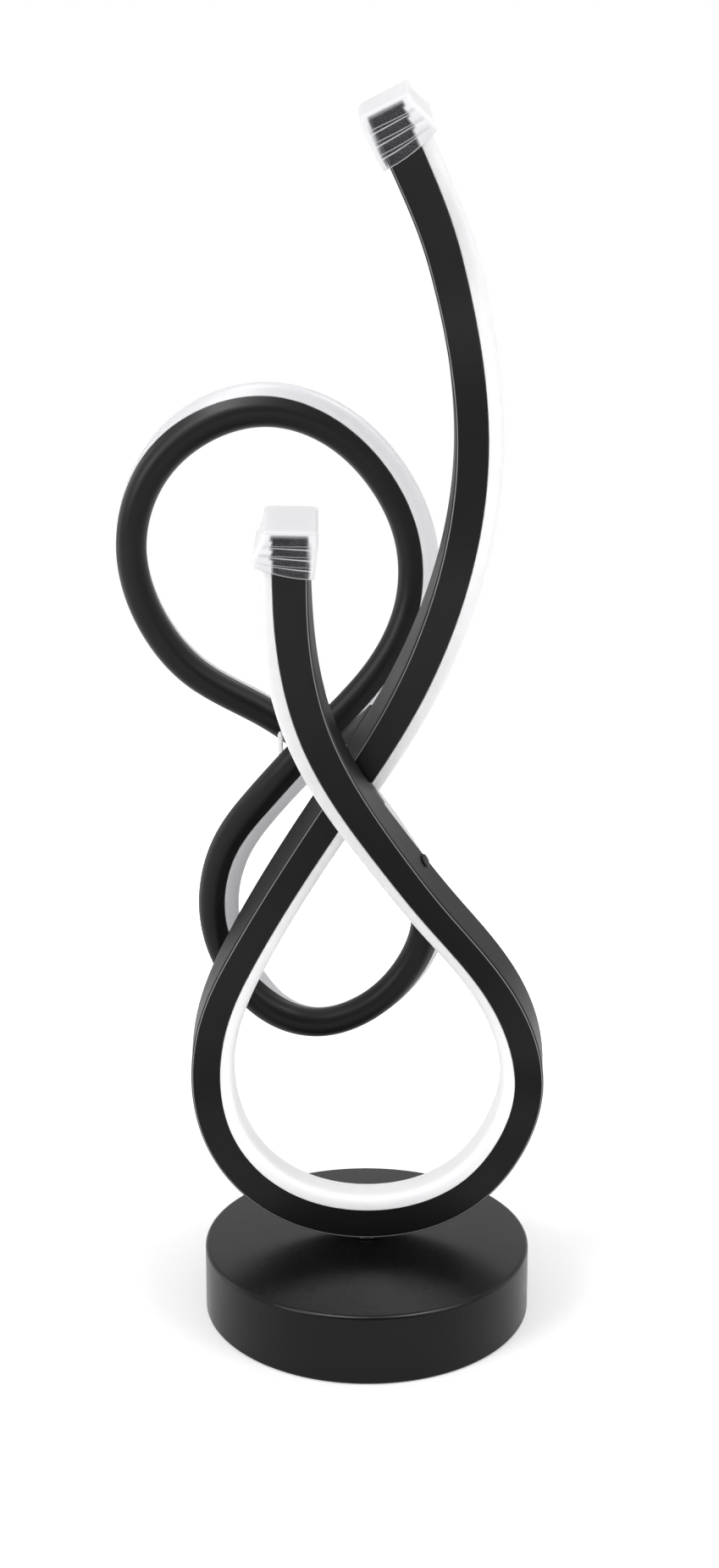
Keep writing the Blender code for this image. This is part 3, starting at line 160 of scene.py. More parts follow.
# Base shell
# A shallow round cover, spun from aluminium sheet with a softly rounded top edge and powder-coated satin
# black. It sits over the weight and is held down by the stem through its middle.
def noise(tree, scale, detail):
    """A soft noise over Object coordinates, at a scale per metre. It stays within about 0.3 and 0.7."""
    node = tree.nodes.new("ShaderNodeTexNoise")
    node.inputs["Scale"].default_value = scale
    node.inputs["Detail"].default_value = detail
    tree.links.new(tree.nodes.new("ShaderNodeTexCoord").outputs["Object"], node.inputs["Vector"])
    return node.outputs["Fac"]


def marked(tree, name):
    """What the mesh keeps in its points as the attribute of that name."""
    node = tree.nodes.new("ShaderNodeAttribute")
    node.attribute_name = name
    return node.outputs["Fac"]


noise_least, noise_most = 0.3, 0.7


def finish(name, dark, pale, scale, dull, shiny, metal=0.0, specular=0.5, grain=0.0, grain_scale=3000.0,
           painted_highlight=None):
    """A finish whose colour runs from dark to pale, and its roughness from dull to shiny, on a soft noise.

    The noise has the scale, per metre. A second, finer noise raises a grain of that depth in metres. The
    painted highlight colour, if any, is a pale line of painted highlight, and shows by the attribute edge.
    """
    made = bpy.data.materials.new(name)
    made.use_nodes = True
    tree = made.node_tree
    shader = tree.nodes["Principled BSDF"]
    shader.inputs["Metallic"].default_value = metal
    shader.inputs["Specular IOR Level"].default_value = specular
    drift = noise(tree, scale, 3.0)
    shades = tree.nodes.new("ShaderNodeValToRGB")
    for stop, position, shade in zip(shades.color_ramp.elements, (noise_least, noise_most), (dark, pale)):
        stop.position = position
        stop.color = (*shade, 1.0)
    tree.links.new(drift, shades.inputs["Fac"])
    colour = shades.outputs["Color"]
    # A pale line of painted highlight, mixed in where the attribute edge is set.
    if painted_highlight:
        highlight_mix = tree.nodes.new("ShaderNodeMix")
        highlight_mix.data_type = "RGBA"
        highlight_mix.inputs["B"].default_value = (*painted_highlight, 1.0)
        tree.links.new(marked(tree, "edge"), highlight_mix.inputs["Factor"])
        tree.links.new(colour, highlight_mix.inputs["A"])
        colour = highlight_mix.outputs["Result"]
    tree.links.new(colour, shader.inputs["Base Color"])
    gloss = ranged(tree, drift, noise_least, noise_most, dull, shiny)
    tree.links.new(gloss.outputs["Result"], shader.inputs["Roughness"])
    if grain:
        bump = tree.nodes.new("ShaderNodeBump")
        bump.inputs["Strength"].default_value = 1.0
        bump.inputs["Distance"].default_value = grain
        tree.links.new(noise(tree, grain_scale, 2.0), bump.inputs["Height"])
        tree.links.new(bump.outputs["Normal"], shader.inputs["Normal"])
    return made


def skinned(name, grid, made_of, node, looped=False, crease=30.0):
    """A skin over a grid of points, each joined to the next in its row and to its like in the next row.

    Every row wraps round. Rows that are looped join the last to the first, and else a flat face closes each
    end. Edges that turn more than the crease, in degrees, stay sharp. The piece replaces its CAD node.
    """
    rows, columns = grid.shape[:2]
    here = np.arange(rows * columns).reshape(rows, columns)
    along = np.roll(here, -1, axis=1)
    if looped:
        ahead, ahead_along = np.roll(here, -1, axis=0), np.roll(along, -1, axis=0)
    else:
        here, ahead, along, ahead_along = here[:-1], here[1:], along[:-1], along[1:]
    quads = np.stack([here, along, ahead_along, ahead], axis=-1).reshape(-1, 4).tolist()
    if not looped:
        quads.append(list(range(columns))[::-1])
        quads.append(list(range((rows - 1) * columns, rows * columns)))
    mesh = bpy.data.meshes.new(name)
    mesh.from_pydata(grid.reshape(-1, 3).tolist(), [], quads)
    work = bmesh.new()
    work.from_mesh(mesh)
    bmesh.ops.recalc_face_normals(work, faces=work.faces)
    work.to_mesh(mesh)
    work.free()
    mesh.shade_smooth()
    mesh.set_sharp_from_angle(angle=math.radians(crease))
    mesh.materials.append(made_of)
    piece = bpy.data.objects.new(name, mesh)
    bpy.context.scene.collection.objects.link(piece)
    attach(piece, "root")
    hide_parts(node)
    return piece


def spun(profile, count=96):
    """A profile of (radius, height) points turned about Z: each point becomes a ring of that many points."""
    turn = np.linspace(0.0, math.tau, count, endpoint=False)
    radius, height = np.asarray(profile).T[:, :, None]
    return np.stack([radius * np.cos(turn), radius * np.sin(turn), height + 0.0 * turn], axis=-1)


def arc(across, out, radius, start, end, count):
    """Points on a circle about (across, out), from one angle to another in degrees."""
    angles = np.radians(np.linspace(start, end, count))
    return np.column_stack([across + radius * np.cos(angles), out + radius * np.sin(angles)])


paint = finish("satin_black_paint", dark=(0.0018, 0.0018, 0.0022), pale=(0.003, 0.003, 0.0035), scale=60.0,
               dull=0.3, shiny=0.24, specular=0.2, grain=0.000002)
base_radius, base_height, shell_wall, shell_edge = 0.060, 0.0242, 0.0016, 0.0014
shell_gap, stem_hole, rim_width, rim_height = 0.0003, 0.0033, 0.0003, 0.0004
top_rings = (stem_hole, 0.012, 0.030, 0.050, 0.0575, 0.0583)
side_rings = (base_height - 0.0018, 0.012, shell_gap + rim_height)
shell_profile = np.vstack([
    [(radius, base_height) for radius in top_rings],
    arc(base_radius - shell_edge, base_height - shell_edge, shell_edge, 90.0, 0.0, 12),
    [(base_radius, height) for height in side_rings],
    [(base_radius - rim_width, shell_gap), (base_radius - shell_wall, shell_gap),
     (base_radius - shell_wall, base_height - shell_wall), (stem_hole, base_height - shell_wall)],
])
skinned("spun_base_shell", spun(shell_profile, 192), paint, "base_shell", looped=True)


# Foot pad, weight and steel inside the base
# A foam disc glued under a zinc-plated bottom plate. Four countersunk screws hold the plate to a cast iron
# ring, which two bolts pull up to a steel strap under the shell's top.
foam = finish("closed_cell_foam", dark=(0.012, 0.012, 0.012), pale=(0.028, 0.028, 0.028), scale=900.0,
              dull=0.95, shiny=0.8, grain=0.0001, grain_scale=1400.0)
pad_radius, pad_thickness, pad_edge, pad_middle, pad_ring = 0.056, 0.0015, 0.0004, 0.001, 0.030
pad_profile = np.vstack([
    [(pad_middle, pad_thickness), (pad_ring, pad_thickness)],
    arc(pad_radius - pad_edge, pad_thickness - pad_edge, pad_edge, 90.0, 0.0, 5),
    arc(pad_radius - pad_edge, pad_edge, pad_edge, 0.0, -90.0, 5),
    [(pad_ring, 0.0), (pad_middle, 0.0)],
])
skinned("foam_foot_pad", spun(pad_profile, 128), foam, "foot_pad")

zinc = finish("zinc_plate", dark=(0.50, 0.51, 0.53), pale=(0.66, 0.66, 0.65), scale=140.0, dull=0.42,
              shiny=0.26, metal=1.0, grain=0.000008, grain_scale=1800.0)
iron = finish("cast_iron", dark=(0.07, 0.07, 0.075), pale=(0.16, 0.155, 0.15), scale=260.0, dull=0.85,
              shiny=0.6, metal=0.8, grain=0.0002, grain_scale=900.0)
steel_inside = [
    "bottom_plate", "mounting_bar", "ballast_bolt_left", "ballast_bolt_right", "plate_screw_1",
    "plate_screw_2", "plate_screw_3", "plate_screw_4",
]


def dressed(names, made_of):
    """Gives the CAD nodes of these names one finish."""
    for name in names:
        nodes[name].data.materials.clear()
        nodes[name].data.materials.append(made_of)


dressed(steel_inside, zinc)
dressed(["ballast_ring"], iron)


# Stem
# A threaded steel tube with two nuts and a lock washer. It clamps the front ribbon's lowest point on the
# base, with a bright turned spacer between the two.
dressed(["stem_tube", "stem_nut_upper", "stem_nut_lower", "stem_lock_washer"], zinc)
spacer_radius, spacer_bottom, spacer_top, spacer_chamfer = 0.005, 0.0245, 0.0255, 0.0002
spacer_profile = [
    (stem_hole, spacer_top), (spacer_radius - spacer_chamfer, spacer_top),
    (spacer_radius, spacer_top - spacer_chamfer), (spacer_radius, spacer_bottom + spacer_chamfer),
    (spacer_radius - spacer_chamfer, spacer_bottom), (stem_hole, spacer_bottom),
]
bright = finish("bright_turned_steel", dark=(0.72, 0.72, 0.72), pale=(0.82, 0.82, 0.82), scale=300.0,
                dull=0.22, shiny=0.14, metal=1.0, grain=0.000004, grain_scale=2600.0)
skinned("turned_spacer", spun(spacer_profile, 96), bright, "stem_spacer", looped=True)


# Power socket
# A round low-voltage inlet moulded in black plastic, with a steel pin in its bore. It is pushed through the
# back wall from outside and a hexagon nut holds it inside.
def set_on(grid, seat, axis):
    """Turns a grid made about Z onto an axis and moves it to its seat: x u + y v + z axis + seat."""
    axis = np.asarray(axis, float) / np.linalg.norm(axis)
    spare = np.eye(3)[np.argmin(np.abs(axis))]
    first = np.cross(spare, axis)
    first /= np.linalg.norm(first)
    return grid @ np.array([first, np.cross(axis, first), axis]) + seat


moulding = finish("black_moulding", dark=(0.018, 0.018, 0.018), pale=(0.032, 0.032, 0.033), scale=500.0,
                  dull=0.5, shiny=0.34, grain=0.00002)
flange_radius, flange_edge, neck_radius, socket_tail = 0.0055, 0.0004, 0.0038, -0.014
bore_radius, bore_floor, pin_radius, flange_face, socket_height = 0.0028, -0.0075, 0.001, 0.0015, 0.0132
core, pin_ease, bore_ease, flange_gap = 0.0003, 0.0002, 0.0003, 0.0003
socket_profile = np.vstack([
    [(core, 0.0), (pin_radius - pin_ease, 0.0), (pin_radius, -pin_ease), (pin_radius, bore_floor),
     (bore_radius, bore_floor), (bore_radius, flange_face - bore_ease),
     (bore_radius + bore_ease, flange_face)],
    arc(flange_radius - flange_edge, flange_face - flange_edge, flange_edge, 90.0, 0.0, 6),
    [(flange_radius, 0.0), (neck_radius, 0.0), (neck_radius, socket_tail), (core, socket_tail)],
])
socket = set_on(spun(socket_profile, 64), (0.0, base_radius + flange_gap, socket_height), (0.0, 1.0, 0.0))
skinned("round_inlet", socket, moulding, "power_socket")
dressed(["socket_nut"], zinc)


# Driver board
# A small glass-fibre board on two brass-nut posts, with a wound choke, a sleeved capacitor, a driver chip
# and a screw terminal soldered on it.
laminate = finish("green_laminate", dark=(0.012, 0.10, 0.045), pale=(0.02, 0.17, 0.075), scale=700.0,
                  dull=0.45, shiny=0.3, grain=0.00002, grain_scale=2200.0)
winding = finish("enamelled_winding", dark=(0.38, 0.13, 0.04), pale=(0.62, 0.26, 0.10), scale=1800.0,
                 dull=0.4, shiny=0.25, metal=0.9, grain=0.0001, grain_scale=1500.0)
sleeve = finish("shrunk_sleeve", dark=(0.02, 0.02, 0.045), pale=(0.04, 0.04, 0.08), scale=300.0, dull=0.45,
                shiny=0.3)
terminal = finish("terminal_plastic", dark=(0.015, 0.20, 0.09), pale=(0.03, 0.30, 0.15), scale=400.0,
                  dull=0.5, shiny=0.38, grain=0.00002)
oxide = finish("black_oxide", dark=(0.03, 0.03, 0.033), pale=(0.06, 0.06, 0.065), scale=500.0, dull=0.45,
               shiny=0.3, metal=0.9, grain=0.00001)
dressed(["driver_board"], laminate)
dressed(["driver_inductor"], winding)
dressed(["driver_capacitor"], sleeve)
dressed(["driver_chip"], moulding)
dressed(["driver_terminal"], terminal)
dressed(["board_post_left", "board_post_right"], zinc)
dressed(["board_screw_left", "board_screw_right"], oxide)


# Leads
# Thin stranded leads in coloured insulation. Two run from the inlet to the terminal, two up through the
# stem to the light strips, and one through the walls of both ribbons above the bracket.
red_lead = finish("red_insulation", dark=(0.36, 0.012, 0.012), pale=(0.52, 0.03, 0.03), scale=600.0, dull=0.5,
                  shiny=0.36)
black_lead = finish("black_insulation", dark=(0.012, 0.012, 0.012), pale=(0.025, 0.025, 0.025), scale=600.0,
                    dull=0.5, shiny=0.36)
dressed(["supply_lead_positive", "feed_lead_a"], red_lead)
dressed(["supply_lead_negative", "feed_lead_b", "bridge_lead"], black_lead)


# Front channel
# One length of U-shaped aluminium channel, bent into a teardrop that crosses itself and ends in two free
# tips, then powder-coated satin black. Its back edges are slightly rounded, with a pale painted highlight
# along them.
def bent_route(rows, closed=False):
    """The route of a bent channel through rows of x, y, z in metres and a roll in degrees.

    Each column is a cubic spline over the distance between the rows. Its second slopes m solve
    h0 m0 + 2 (h0 + h1) m1 + h1 m2 = 6 (change of slope), with m zero at free ends or wrapping round a closed
    route. The function returned gives, at shares of the length, the centre, the tangent, the direction
    across the section and the direction out of its mouth. A roll of 0 turns the section's side to the viewer.
    """
    rows = np.array(rows, float)
    rows[:, 3] = np.radians(rows[:, 3])
    if closed:
        rows = np.vstack([rows, rows[:1]])
        rows[:, 3] = np.unwrap(rows[:, 3])
    spans = np.linalg.norm(np.diff(rows[:, :3], axis=0), axis=1)
    marks = np.concatenate([[0.0], np.cumsum(spans)])
    slopes = np.diff(rows, axis=0) / spans[:, None]
    last = len(spans)
    inner = np.arange(1, last)
    system = np.eye(last + 1)
    system[inner, inner - 1], system[inner, inner + 1] = spans[:-1], spans[1:]
    system[inner, inner] = 2 * (spans[:-1] + spans[1:])
    wanted = np.zeros_like(rows)
    wanted[inner] = 6 * np.diff(slopes, axis=0)
    if closed:
        system[0, [0, 1, last - 1]] = 2 * (spans[-1] + spans[0]), spans[0], spans[-1]
        wanted[0] = 6 * (slopes[0] - slopes[-1])
        system[last, 0] = -1.0
    second = np.linalg.solve(system, wanted)

    def at(shares):
        run = np.atleast_1d(shares) * marks[-1]
        run = np.mod(run, marks[-1]) if closed else np.clip(run, 0.0, marks[-1])
        i = np.clip(np.searchsorted(marks, run, side="right") - 1, 0, last - 1)
        h = spans[i][:, None]
        b = (run - marks[i])[:, None] / h
        a = 1.0 - b
        value = a * rows[i] + b * rows[i + 1]
        value += ((a**3 - a) * second[i] + (b**3 - b) * second[i + 1]) * h**2 / 6
        slope = slopes[i] + ((3 * b**2 - 1) * second[i + 1] - (3 * a**2 - 1) * second[i]) * h / 6
        tangent = slope[:, :3] / np.linalg.norm(slope[:, :3], axis=1)[:, None]
        viewer = np.array((0.0, -1.0, 0.0))
        side = viewer - tangent * (tangent @ viewer)[:, None]
        side /= np.linalg.norm(side, axis=1)[:, None]
        light = np.cross(tangent, side)
        cosine, sine = np.cos(value[:, 3:4]), np.sin(value[:, 3:4])
        return value[:, :3], tangent, cosine * side + sine * light, cosine * light - sine * side

    at.length = marks[-1]
    return at


def carried(section, route, shares):
    """An outline of (across, out) points carried along a route: centre + across * side + out * mouth.

    The section is one outline, or one for each share.
    """
    centre, _, side, mouth = route(shares)
    section = np.broadcast_to(section, (len(centre), *np.shape(section)[-2:]))
    return centre[:, None] + section[..., :1] * side[:, None] + section[..., 1:] * mouth[:, None]


front_route = bent_route([
    (-0.02280, -0.07420, 0.28190, -1), (-0.02280, -0.05796, 0.25270, 4), (-0.01600, -0.03164, 0.21550, 8),
    (0.00960, 0.00196, 0.16990, 20), (0.02800, 0.01316, 0.14510, 23), (0.05800, 0.01960, 0.10150, 16),
    (0.06160, 0.01638, 0.07870, 5), (0.05360, 0.00756, 0.05830, 0), (0.03920, 0.00196, 0.04310, 0),
    (0.00000, 0.00000, 0.03110, 0), (-0.03920, 0.00196, 0.04310, 0), (-0.05400, 0.00756, 0.05870, 0),
    (-0.06080, 0.01484, 0.07990, 4), (-0.05800, 0.01918, 0.10470, 10), (-0.04800, 0.02156, 0.12750, 16),
    (-0.03600, 0.02044, 0.14870, 19), (-0.00880, 0.00602, 0.19230, 19), (0.01360, -0.01162, 0.23070, 14),
    (0.02960, -0.02002, 0.27430, 5), (0.03400, -0.02002, 0.31750, -2), (0.02480, -0.03220, 0.36430, -9),
    (0.01160, -0.05894, 0.38870, -13), (0.00480, -0.06692, 0.40110, -14),
])
front_width, front_depth, front_wall, front_corner = 0.014, 0.0106, 0.0014, 0.0008
fit = 0.0003
half, back, mouth = front_width / 2, -front_depth / 2, front_depth / 2
pocket, floor_out = half - front_wall, back + front_wall
left_edge = arc(-half + front_corner, back + front_corner, front_corner, 180.0, 270.0, 6)
front_section = np.vstack([
    [(-half, mouth), (-half, back + 2 * front_corner)], left_edge,
    [(-half + 2 * front_corner, back), (half - 2 * front_corner, back)], left_edge[::-1] * (-1, 1),
    [(half, back + 2 * front_corner), (half, mouth), (pocket, mouth), (pocket, floor_out),
     (-pocket, floor_out), (-pocket, mouth)],
])
front_shares = np.linspace(0.0, 1.0, 560)
channel_paint = finish("satin_black_channel", dark=(0.0026, 0.0026, 0.003), pale=(0.004, 0.004, 0.0045),
                       scale=60.0, dull=0.46, shiny=0.4, specular=0.2, grain=0.000002,
                       painted_highlight=(0.32, 0.32, 0.33))
channel = skinned("front_bent_channel", carried(front_section, front_route, front_shares), channel_paint,
                  "front_channel")
# The back corners of the section get the painted highlight by the attribute edge.
highlight_left, highlight_right = (
    np.isclose(front_section, left_edge[1] * (way, 1)).all(axis=1) for way in (1, -1)
)
edge = np.tile((highlight_left | highlight_right).astype(float), len(front_shares))
channel.data.attributes.new("edge", "FLOAT", "POINT").data.foreach_set("value", edge)


# Light strips
# White laminate strips with their light sources under a pale yellow coat, stuck along the floor of each
# channel. They are dark here: the lamp is switched off.
strip_laminate = finish("white_strip", dark=(0.74, 0.74, 0.66), pale=(0.86, 0.86, 0.84), scale=220.0,
                        dull=0.5, shiny=0.4)
dressed(["front_strip_a", "front_strip_b", "rear_strip"], strip_laminate)


# Front cover
# A milky silicone extrusion, domed outside and hollow inside, whose two legs press into the channel's mouth.
# It runs the channel's whole length and falls towards both tips.
fall_from_tip, fall_to = (0.0, 0.008, 0.050), (0.06, 0.64, 1.0)


def crown(shares):
    """The share of the cover's full height at shares of the ribbon: straight falls towards both tips."""
    from_tip = np.minimum(shares, 1.0 - np.asarray(shares)) * front_route.length
    return np.interp(from_tip, fall_from_tip, fall_to)


leg_depth, leg_wall, hollow_share = 0.0016, 0.0013, 0.6


def cover_section(width, depth, wall, height, count=40):
    """A dome on two legs. The dome is the curve |x / half|^4 + |y / height|^4 = 1, over a square hollow."""
    half, base = width / 2, depth / 2 + fit
    leg, low, roof = half - wall - fit, depth / 2 + fit - leg_depth, depth / 2 + fit + hollow_share * height
    inner = leg - leg_wall
    angles = np.linspace(0.0, math.pi, count)
    bow = np.sqrt(np.abs(np.column_stack([np.cos(angles), np.sin(angles)])))
    dome = bow * (half, height) * np.sign(np.column_stack([np.cos(angles), 1.0 + 0.0 * angles])) + (0.0, base)
    legs = [(-leg, base), (-leg, low), (-inner, low), (-inner, roof), (inner, roof), (inner, low),
            (leg, low), (leg, base)]
    return np.vstack([legs, dome])


def milky(name, rim, body, crest):
    """Milky silicone: pale at the rim along the channel, a shade darker up the dome, with soft light in it.

    The paler rim is a painted highlight. The attribute rise is 0 at the channel's mouth and 1 at the crest.
    A soft noise clouds it faintly.
    """
    body_from, cloud_scale, cloudiness, dull, shiny = 0.35, 90.0, 0.06, 0.42, 0.28
    made = bpy.data.materials.new(name)
    made.use_nodes = True
    tree = made.node_tree
    shader = tree.nodes["Principled BSDF"]
    shades = tree.nodes.new("ShaderNodeValToRGB")
    ramp = shades.color_ramp
    ramp.elements[0].color = (*rim, 1.0)
    ramp.elements[1].color = (*crest, 1.0)
    ramp.elements.new(body_from).color = (*body, 1.0)
    tree.links.new(marked(tree, "rise"), shades.inputs["Fac"])
    cloud = noise(tree, cloud_scale, 2.0)
    veil = tree.nodes.new("ShaderNodeMix")
    veil.data_type = "RGBA"
    veil.blend_type = "MULTIPLY"
    veil.inputs["Factor"].default_value = cloudiness
    tree.links.new(shades.outputs["Color"], veil.inputs["A"])
    tree.links.new(cloud, veil.inputs["B"])
    tree.links.new(veil.outputs["Result"], shader.inputs["Base Color"])
    gloss = ranged(tree, cloud, 0.0, 1.0, dull, shiny)
    tree.links.new(gloss.outputs["Result"], shader.inputs["Roughness"])
    shader.inputs["Subsurface Weight"].default_value = 0.5
    shader.inputs["Subsurface Radius"].default_value = (1.0, 1.0, 1.1)
    shader.inputs["Subsurface Scale"].default_value = 0.002
    shader.inputs["IOR"].default_value = 1.41
    shader.inputs["Specular IOR Level"].default_value = 0.3
    return made


def covered(name, section, route, shares, made_of, node):
    """A cover carried along a route, with its rise kept as an attribute of its points."""
    piece = skinned(name, carried(section, route, shares), made_of, node)
    heights = np.broadcast_to(section, (len(shares), *section.shape[-2:]))[..., 1]
    base = heights[:, :1]
    rise = np.clip((heights - base) / (heights.max(axis=1, keepdims=True) - base), 0.0, 1.0)
    piece.data.attributes.new("rise", "FLOAT", "POINT").data.foreach_set("value", rise.ravel())
    return piece


# The paler rim colour is a painted highlight along the channel.
milky_silicone = milky("milky_silicone", rim=(0.98, 0.98, 0.985), body=(0.93, 0.93, 0.945),
                       crest=(0.94, 0.94, 0.955))
front_cover_height = 0.0052
front_covers = np.array([
    cover_section(front_width, front_depth, front_wall, front_cover_height * height)
    for height in crown(front_shares)
])
covered("front_milky_cover", front_covers, front_route, front_shares, milky_silicone, "front_cover")


# End caps
# Two clear silicone caps pushed over the tips of the front ribbon. Each is barrel-shaped with shallow cross
# grooves, a rounded closed end, and a lip that is cut back over the dome. They look milky where the silicone
# is thick or turns an edge: over and under the channel, past its end, and in fine lines at the grooves.
def clear(name, veil, pale, end_painted_shade):
    """Clear silicone mixed with a milky veil: light goes through the one, and the other scatters it.

    The veil's share is the attribute milk plus a little on a soft noise. Its colour runs by the same
    attribute from that of a faint veil to a pale one, and on to a darker painted shade at the closed end.
    """
    cloud_scale, dull, shiny, veil_least, veil_most = 260.0, 0.16, 0.08, 0.12, 0.2
    made = bpy.data.materials.new(name)
    made.use_nodes = True
    tree = made.node_tree
    through = tree.nodes["Principled BSDF"]
    through.inputs["Base Color"].default_value = (0.97, 0.97, 0.98, 1.0)
    through.inputs["IOR"].default_value = 1.08
    through.inputs["Transmission Weight"].default_value = 1.0
    cloud = noise(tree, cloud_scale, 2.0)
    gloss = ranged(tree, cloud, 0.0, 1.0, dull, shiny)
    tree.links.new(gloss.outputs["Result"], through.inputs["Roughness"])
    milk = tree.nodes.new("ShaderNodeBsdfPrincipled")
    milk.inputs["Roughness"].default_value = 0.4
    milk.inputs["IOR"].default_value = 1.3
    milk.inputs["Subsurface Weight"].default_value = 1.0
    milk.inputs["Subsurface Radius"].default_value = (1.0, 1.0, 1.0)
    milk.inputs["Subsurface Scale"].default_value = 0.003
    marks = marked(tree, "milk")
    shades = tree.nodes.new("ShaderNodeValToRGB")
    shades.color_ramp.elements[0].color = (*veil, 1.0)
    shades.color_ramp.elements[1].color = (*end_painted_shade, 1.0)
    shades.color_ramp.elements.new(thick_milk).color = (*pale, 1.0)
    tree.links.new(marks, shades.inputs["Fac"])
    tree.links.new(shades.outputs["Color"], milk.inputs["Base Color"])
    thin = ranged(tree, cloud, noise_least, noise_most, veil_least, veil_most)
    share = tree.nodes.new("ShaderNodeMath")
    share.operation = "ADD"
    tree.links.new(marks, share.inputs[0])
    tree.links.new(thin.outputs["Result"], share.inputs[1])
    both = tree.nodes.new("ShaderNodeMixShader")
    tree.links.new(share.outputs[0], both.inputs["Fac"])
    tree.links.new(through.outputs[0], both.inputs[1])
    tree.links.new(milk.outputs[0], both.inputs[2])
    tree.links.new(both.outputs[0], tree.nodes["Material Output"].inputs["Surface"])
    return made


cap_overlap, cap_lip, cap_wall, cap_end, cap_edge = 0.0130, 0.0016, 0.0021, 0.00228, 0.0009
cap_corner, cap_bevel, cap_clearance = 0.0012, 0.0037, 0.0003
groove_depth, groove_pitch, groove_count = 0.0004, 0.0034, 3
line_apart, line_slant, line_width = 0.0005, 0.35, 0.00014
thick_milk, milk_edge = 0.85, 0.0003
rows_inside, rows_along, rows_round_end = 40, 110, 8


def cap_outline(end, sign, past, wall, corner, dip=0.0):
    """A rounded box round the ribbon, that far past its end, or back from it where past is below zero.

    Its flat sides are dipped by a groove's depth. The cover's height there sets its top. The outline slants
    back towards the end by bevel * (share of the way to the lip)^2 * (share of its height)^2.
    """
    share = end + sign * min(past, 0.0) / front_route.length
    low = back - fit - wall
    high = mouth + fit + front_cover_height * float(crown(share)) + cap_clearance + wall
    side = half + fit + wall
    rise = np.linspace(low + corner, high - corner, 16)[1:-1]
    outline = np.vstack([
        arc(-side + corner, low + corner, corner, 180.0, 270.0, 5),
        arc(side - corner, low + corner, corner, 270.0, 360.0, 5),
        np.column_stack([side - dip + 0.0 * rise, rise]),
        arc(side - corner, high - corner, corner, 0.0, 90.0, 5),
        arc(-side + corner, high - corner, corner, 90.0, 180.0, 5),
        np.column_stack([dip - side + 0.0 * rise, rise[::-1]]),
    ])
    centre, tangent, across, out = (part[0] for part in front_route([share]))
    to_lip = min(max(-past / cap_overlap, 0.0), 1.0)
    onward = max(past, 0.0) + cap_bevel * to_lip**2 * ((outline[:, 1] - low) / (high - low))**2
    return centre + outline[:, :1] * across + outline[:, 1:] * out + sign * onward[:, None] * tangent


# The darker colour given for the closed end is painted shade.
clear_silicone = clear("clear_silicone", veil=(0.18, 0.18, 0.20), pale=(0.84, 0.84, 0.86),
                       end_painted_shade=(0.66, 0.66, 0.675))
grooves = np.arange(1, groove_count + 1) * groove_pitch - cap_overlap
for name, end, sign in (("end_cap_a", 0.0, -1), ("end_cap_b", 1.0, 1)):
    rows = [cap_outline(end, sign, past, 0.0, fit) for past in np.linspace(fit, -cap_overlap, rows_inside)]
    pasts = [0.0] * rows_inside
    for past in np.linspace(-cap_overlap, cap_end - cap_edge, rows_along):
        swell = math.sin(math.pi / 2 * min(2 + 2 * past / cap_overlap, 1.0))
        dip = np.clip(2 - np.abs(past - grooves) / groove_depth, 0.0, 1.0).max() * groove_depth
        rows.append(cap_outline(end, sign, past, cap_lip + (cap_wall - cap_lip) * swell, cap_corner, dip))
        pasts.append(past)
    for angle in np.linspace(0.0, math.pi / 2, rows_round_end)[1:]:
        inset = cap_edge * (1 - math.cos(angle))
        past = cap_end - cap_edge * (1 - math.sin(angle))
        rows.append(cap_outline(end, sign, past, cap_wall - inset, cap_corner + inset))
        pasts.append(cap_end)
    cap = skinned("clear_" + name, np.array(rows), clear_silicone, name, crease=40.0)

    # Milk over and under the channel and past its end, in a pair of lines exp(-(distance / width)^2) at each
    # groove, the further apart the more they slant, and in a line at the lip. The cavity has none.
    rows, pasts = np.array(rows), np.array(pasts)
    centre, _, _, out = front_route(end + sign * np.minimum(pasts, 0.0) / front_route.length)
    heights = ((rows - centre[:, None]) * out[:, None]).sum(axis=-1)
    walled = np.clip(np.maximum(heights - mouth, back - heights) / milk_edge, 0.0, 1.0)
    aslant = np.cos(np.linspace(0.0, math.tau, rows.shape[1], endpoint=False))
    pasts = pasts[:, None]
    milk = np.maximum(thick_milk * walled, np.clip(pasts / cap_end, 0.0, 1.0))
    for groove in grooves:
        for way in (-1, 1):
            apart = pasts - groove - way * line_apart * (1 + line_slant * aslant)
            milk = np.maximum(milk, thick_milk * np.exp(-(apart / line_width)**2))
    milk = np.maximum(milk, thick_milk * np.exp(-((pasts + cap_overlap) / line_width)**2 / 2))
    milk[:rows_inside] = 0.0
    cap.data.attributes.new("milk", "FLOAT", "POINT").data.foreach_set("value", milk.ravel())


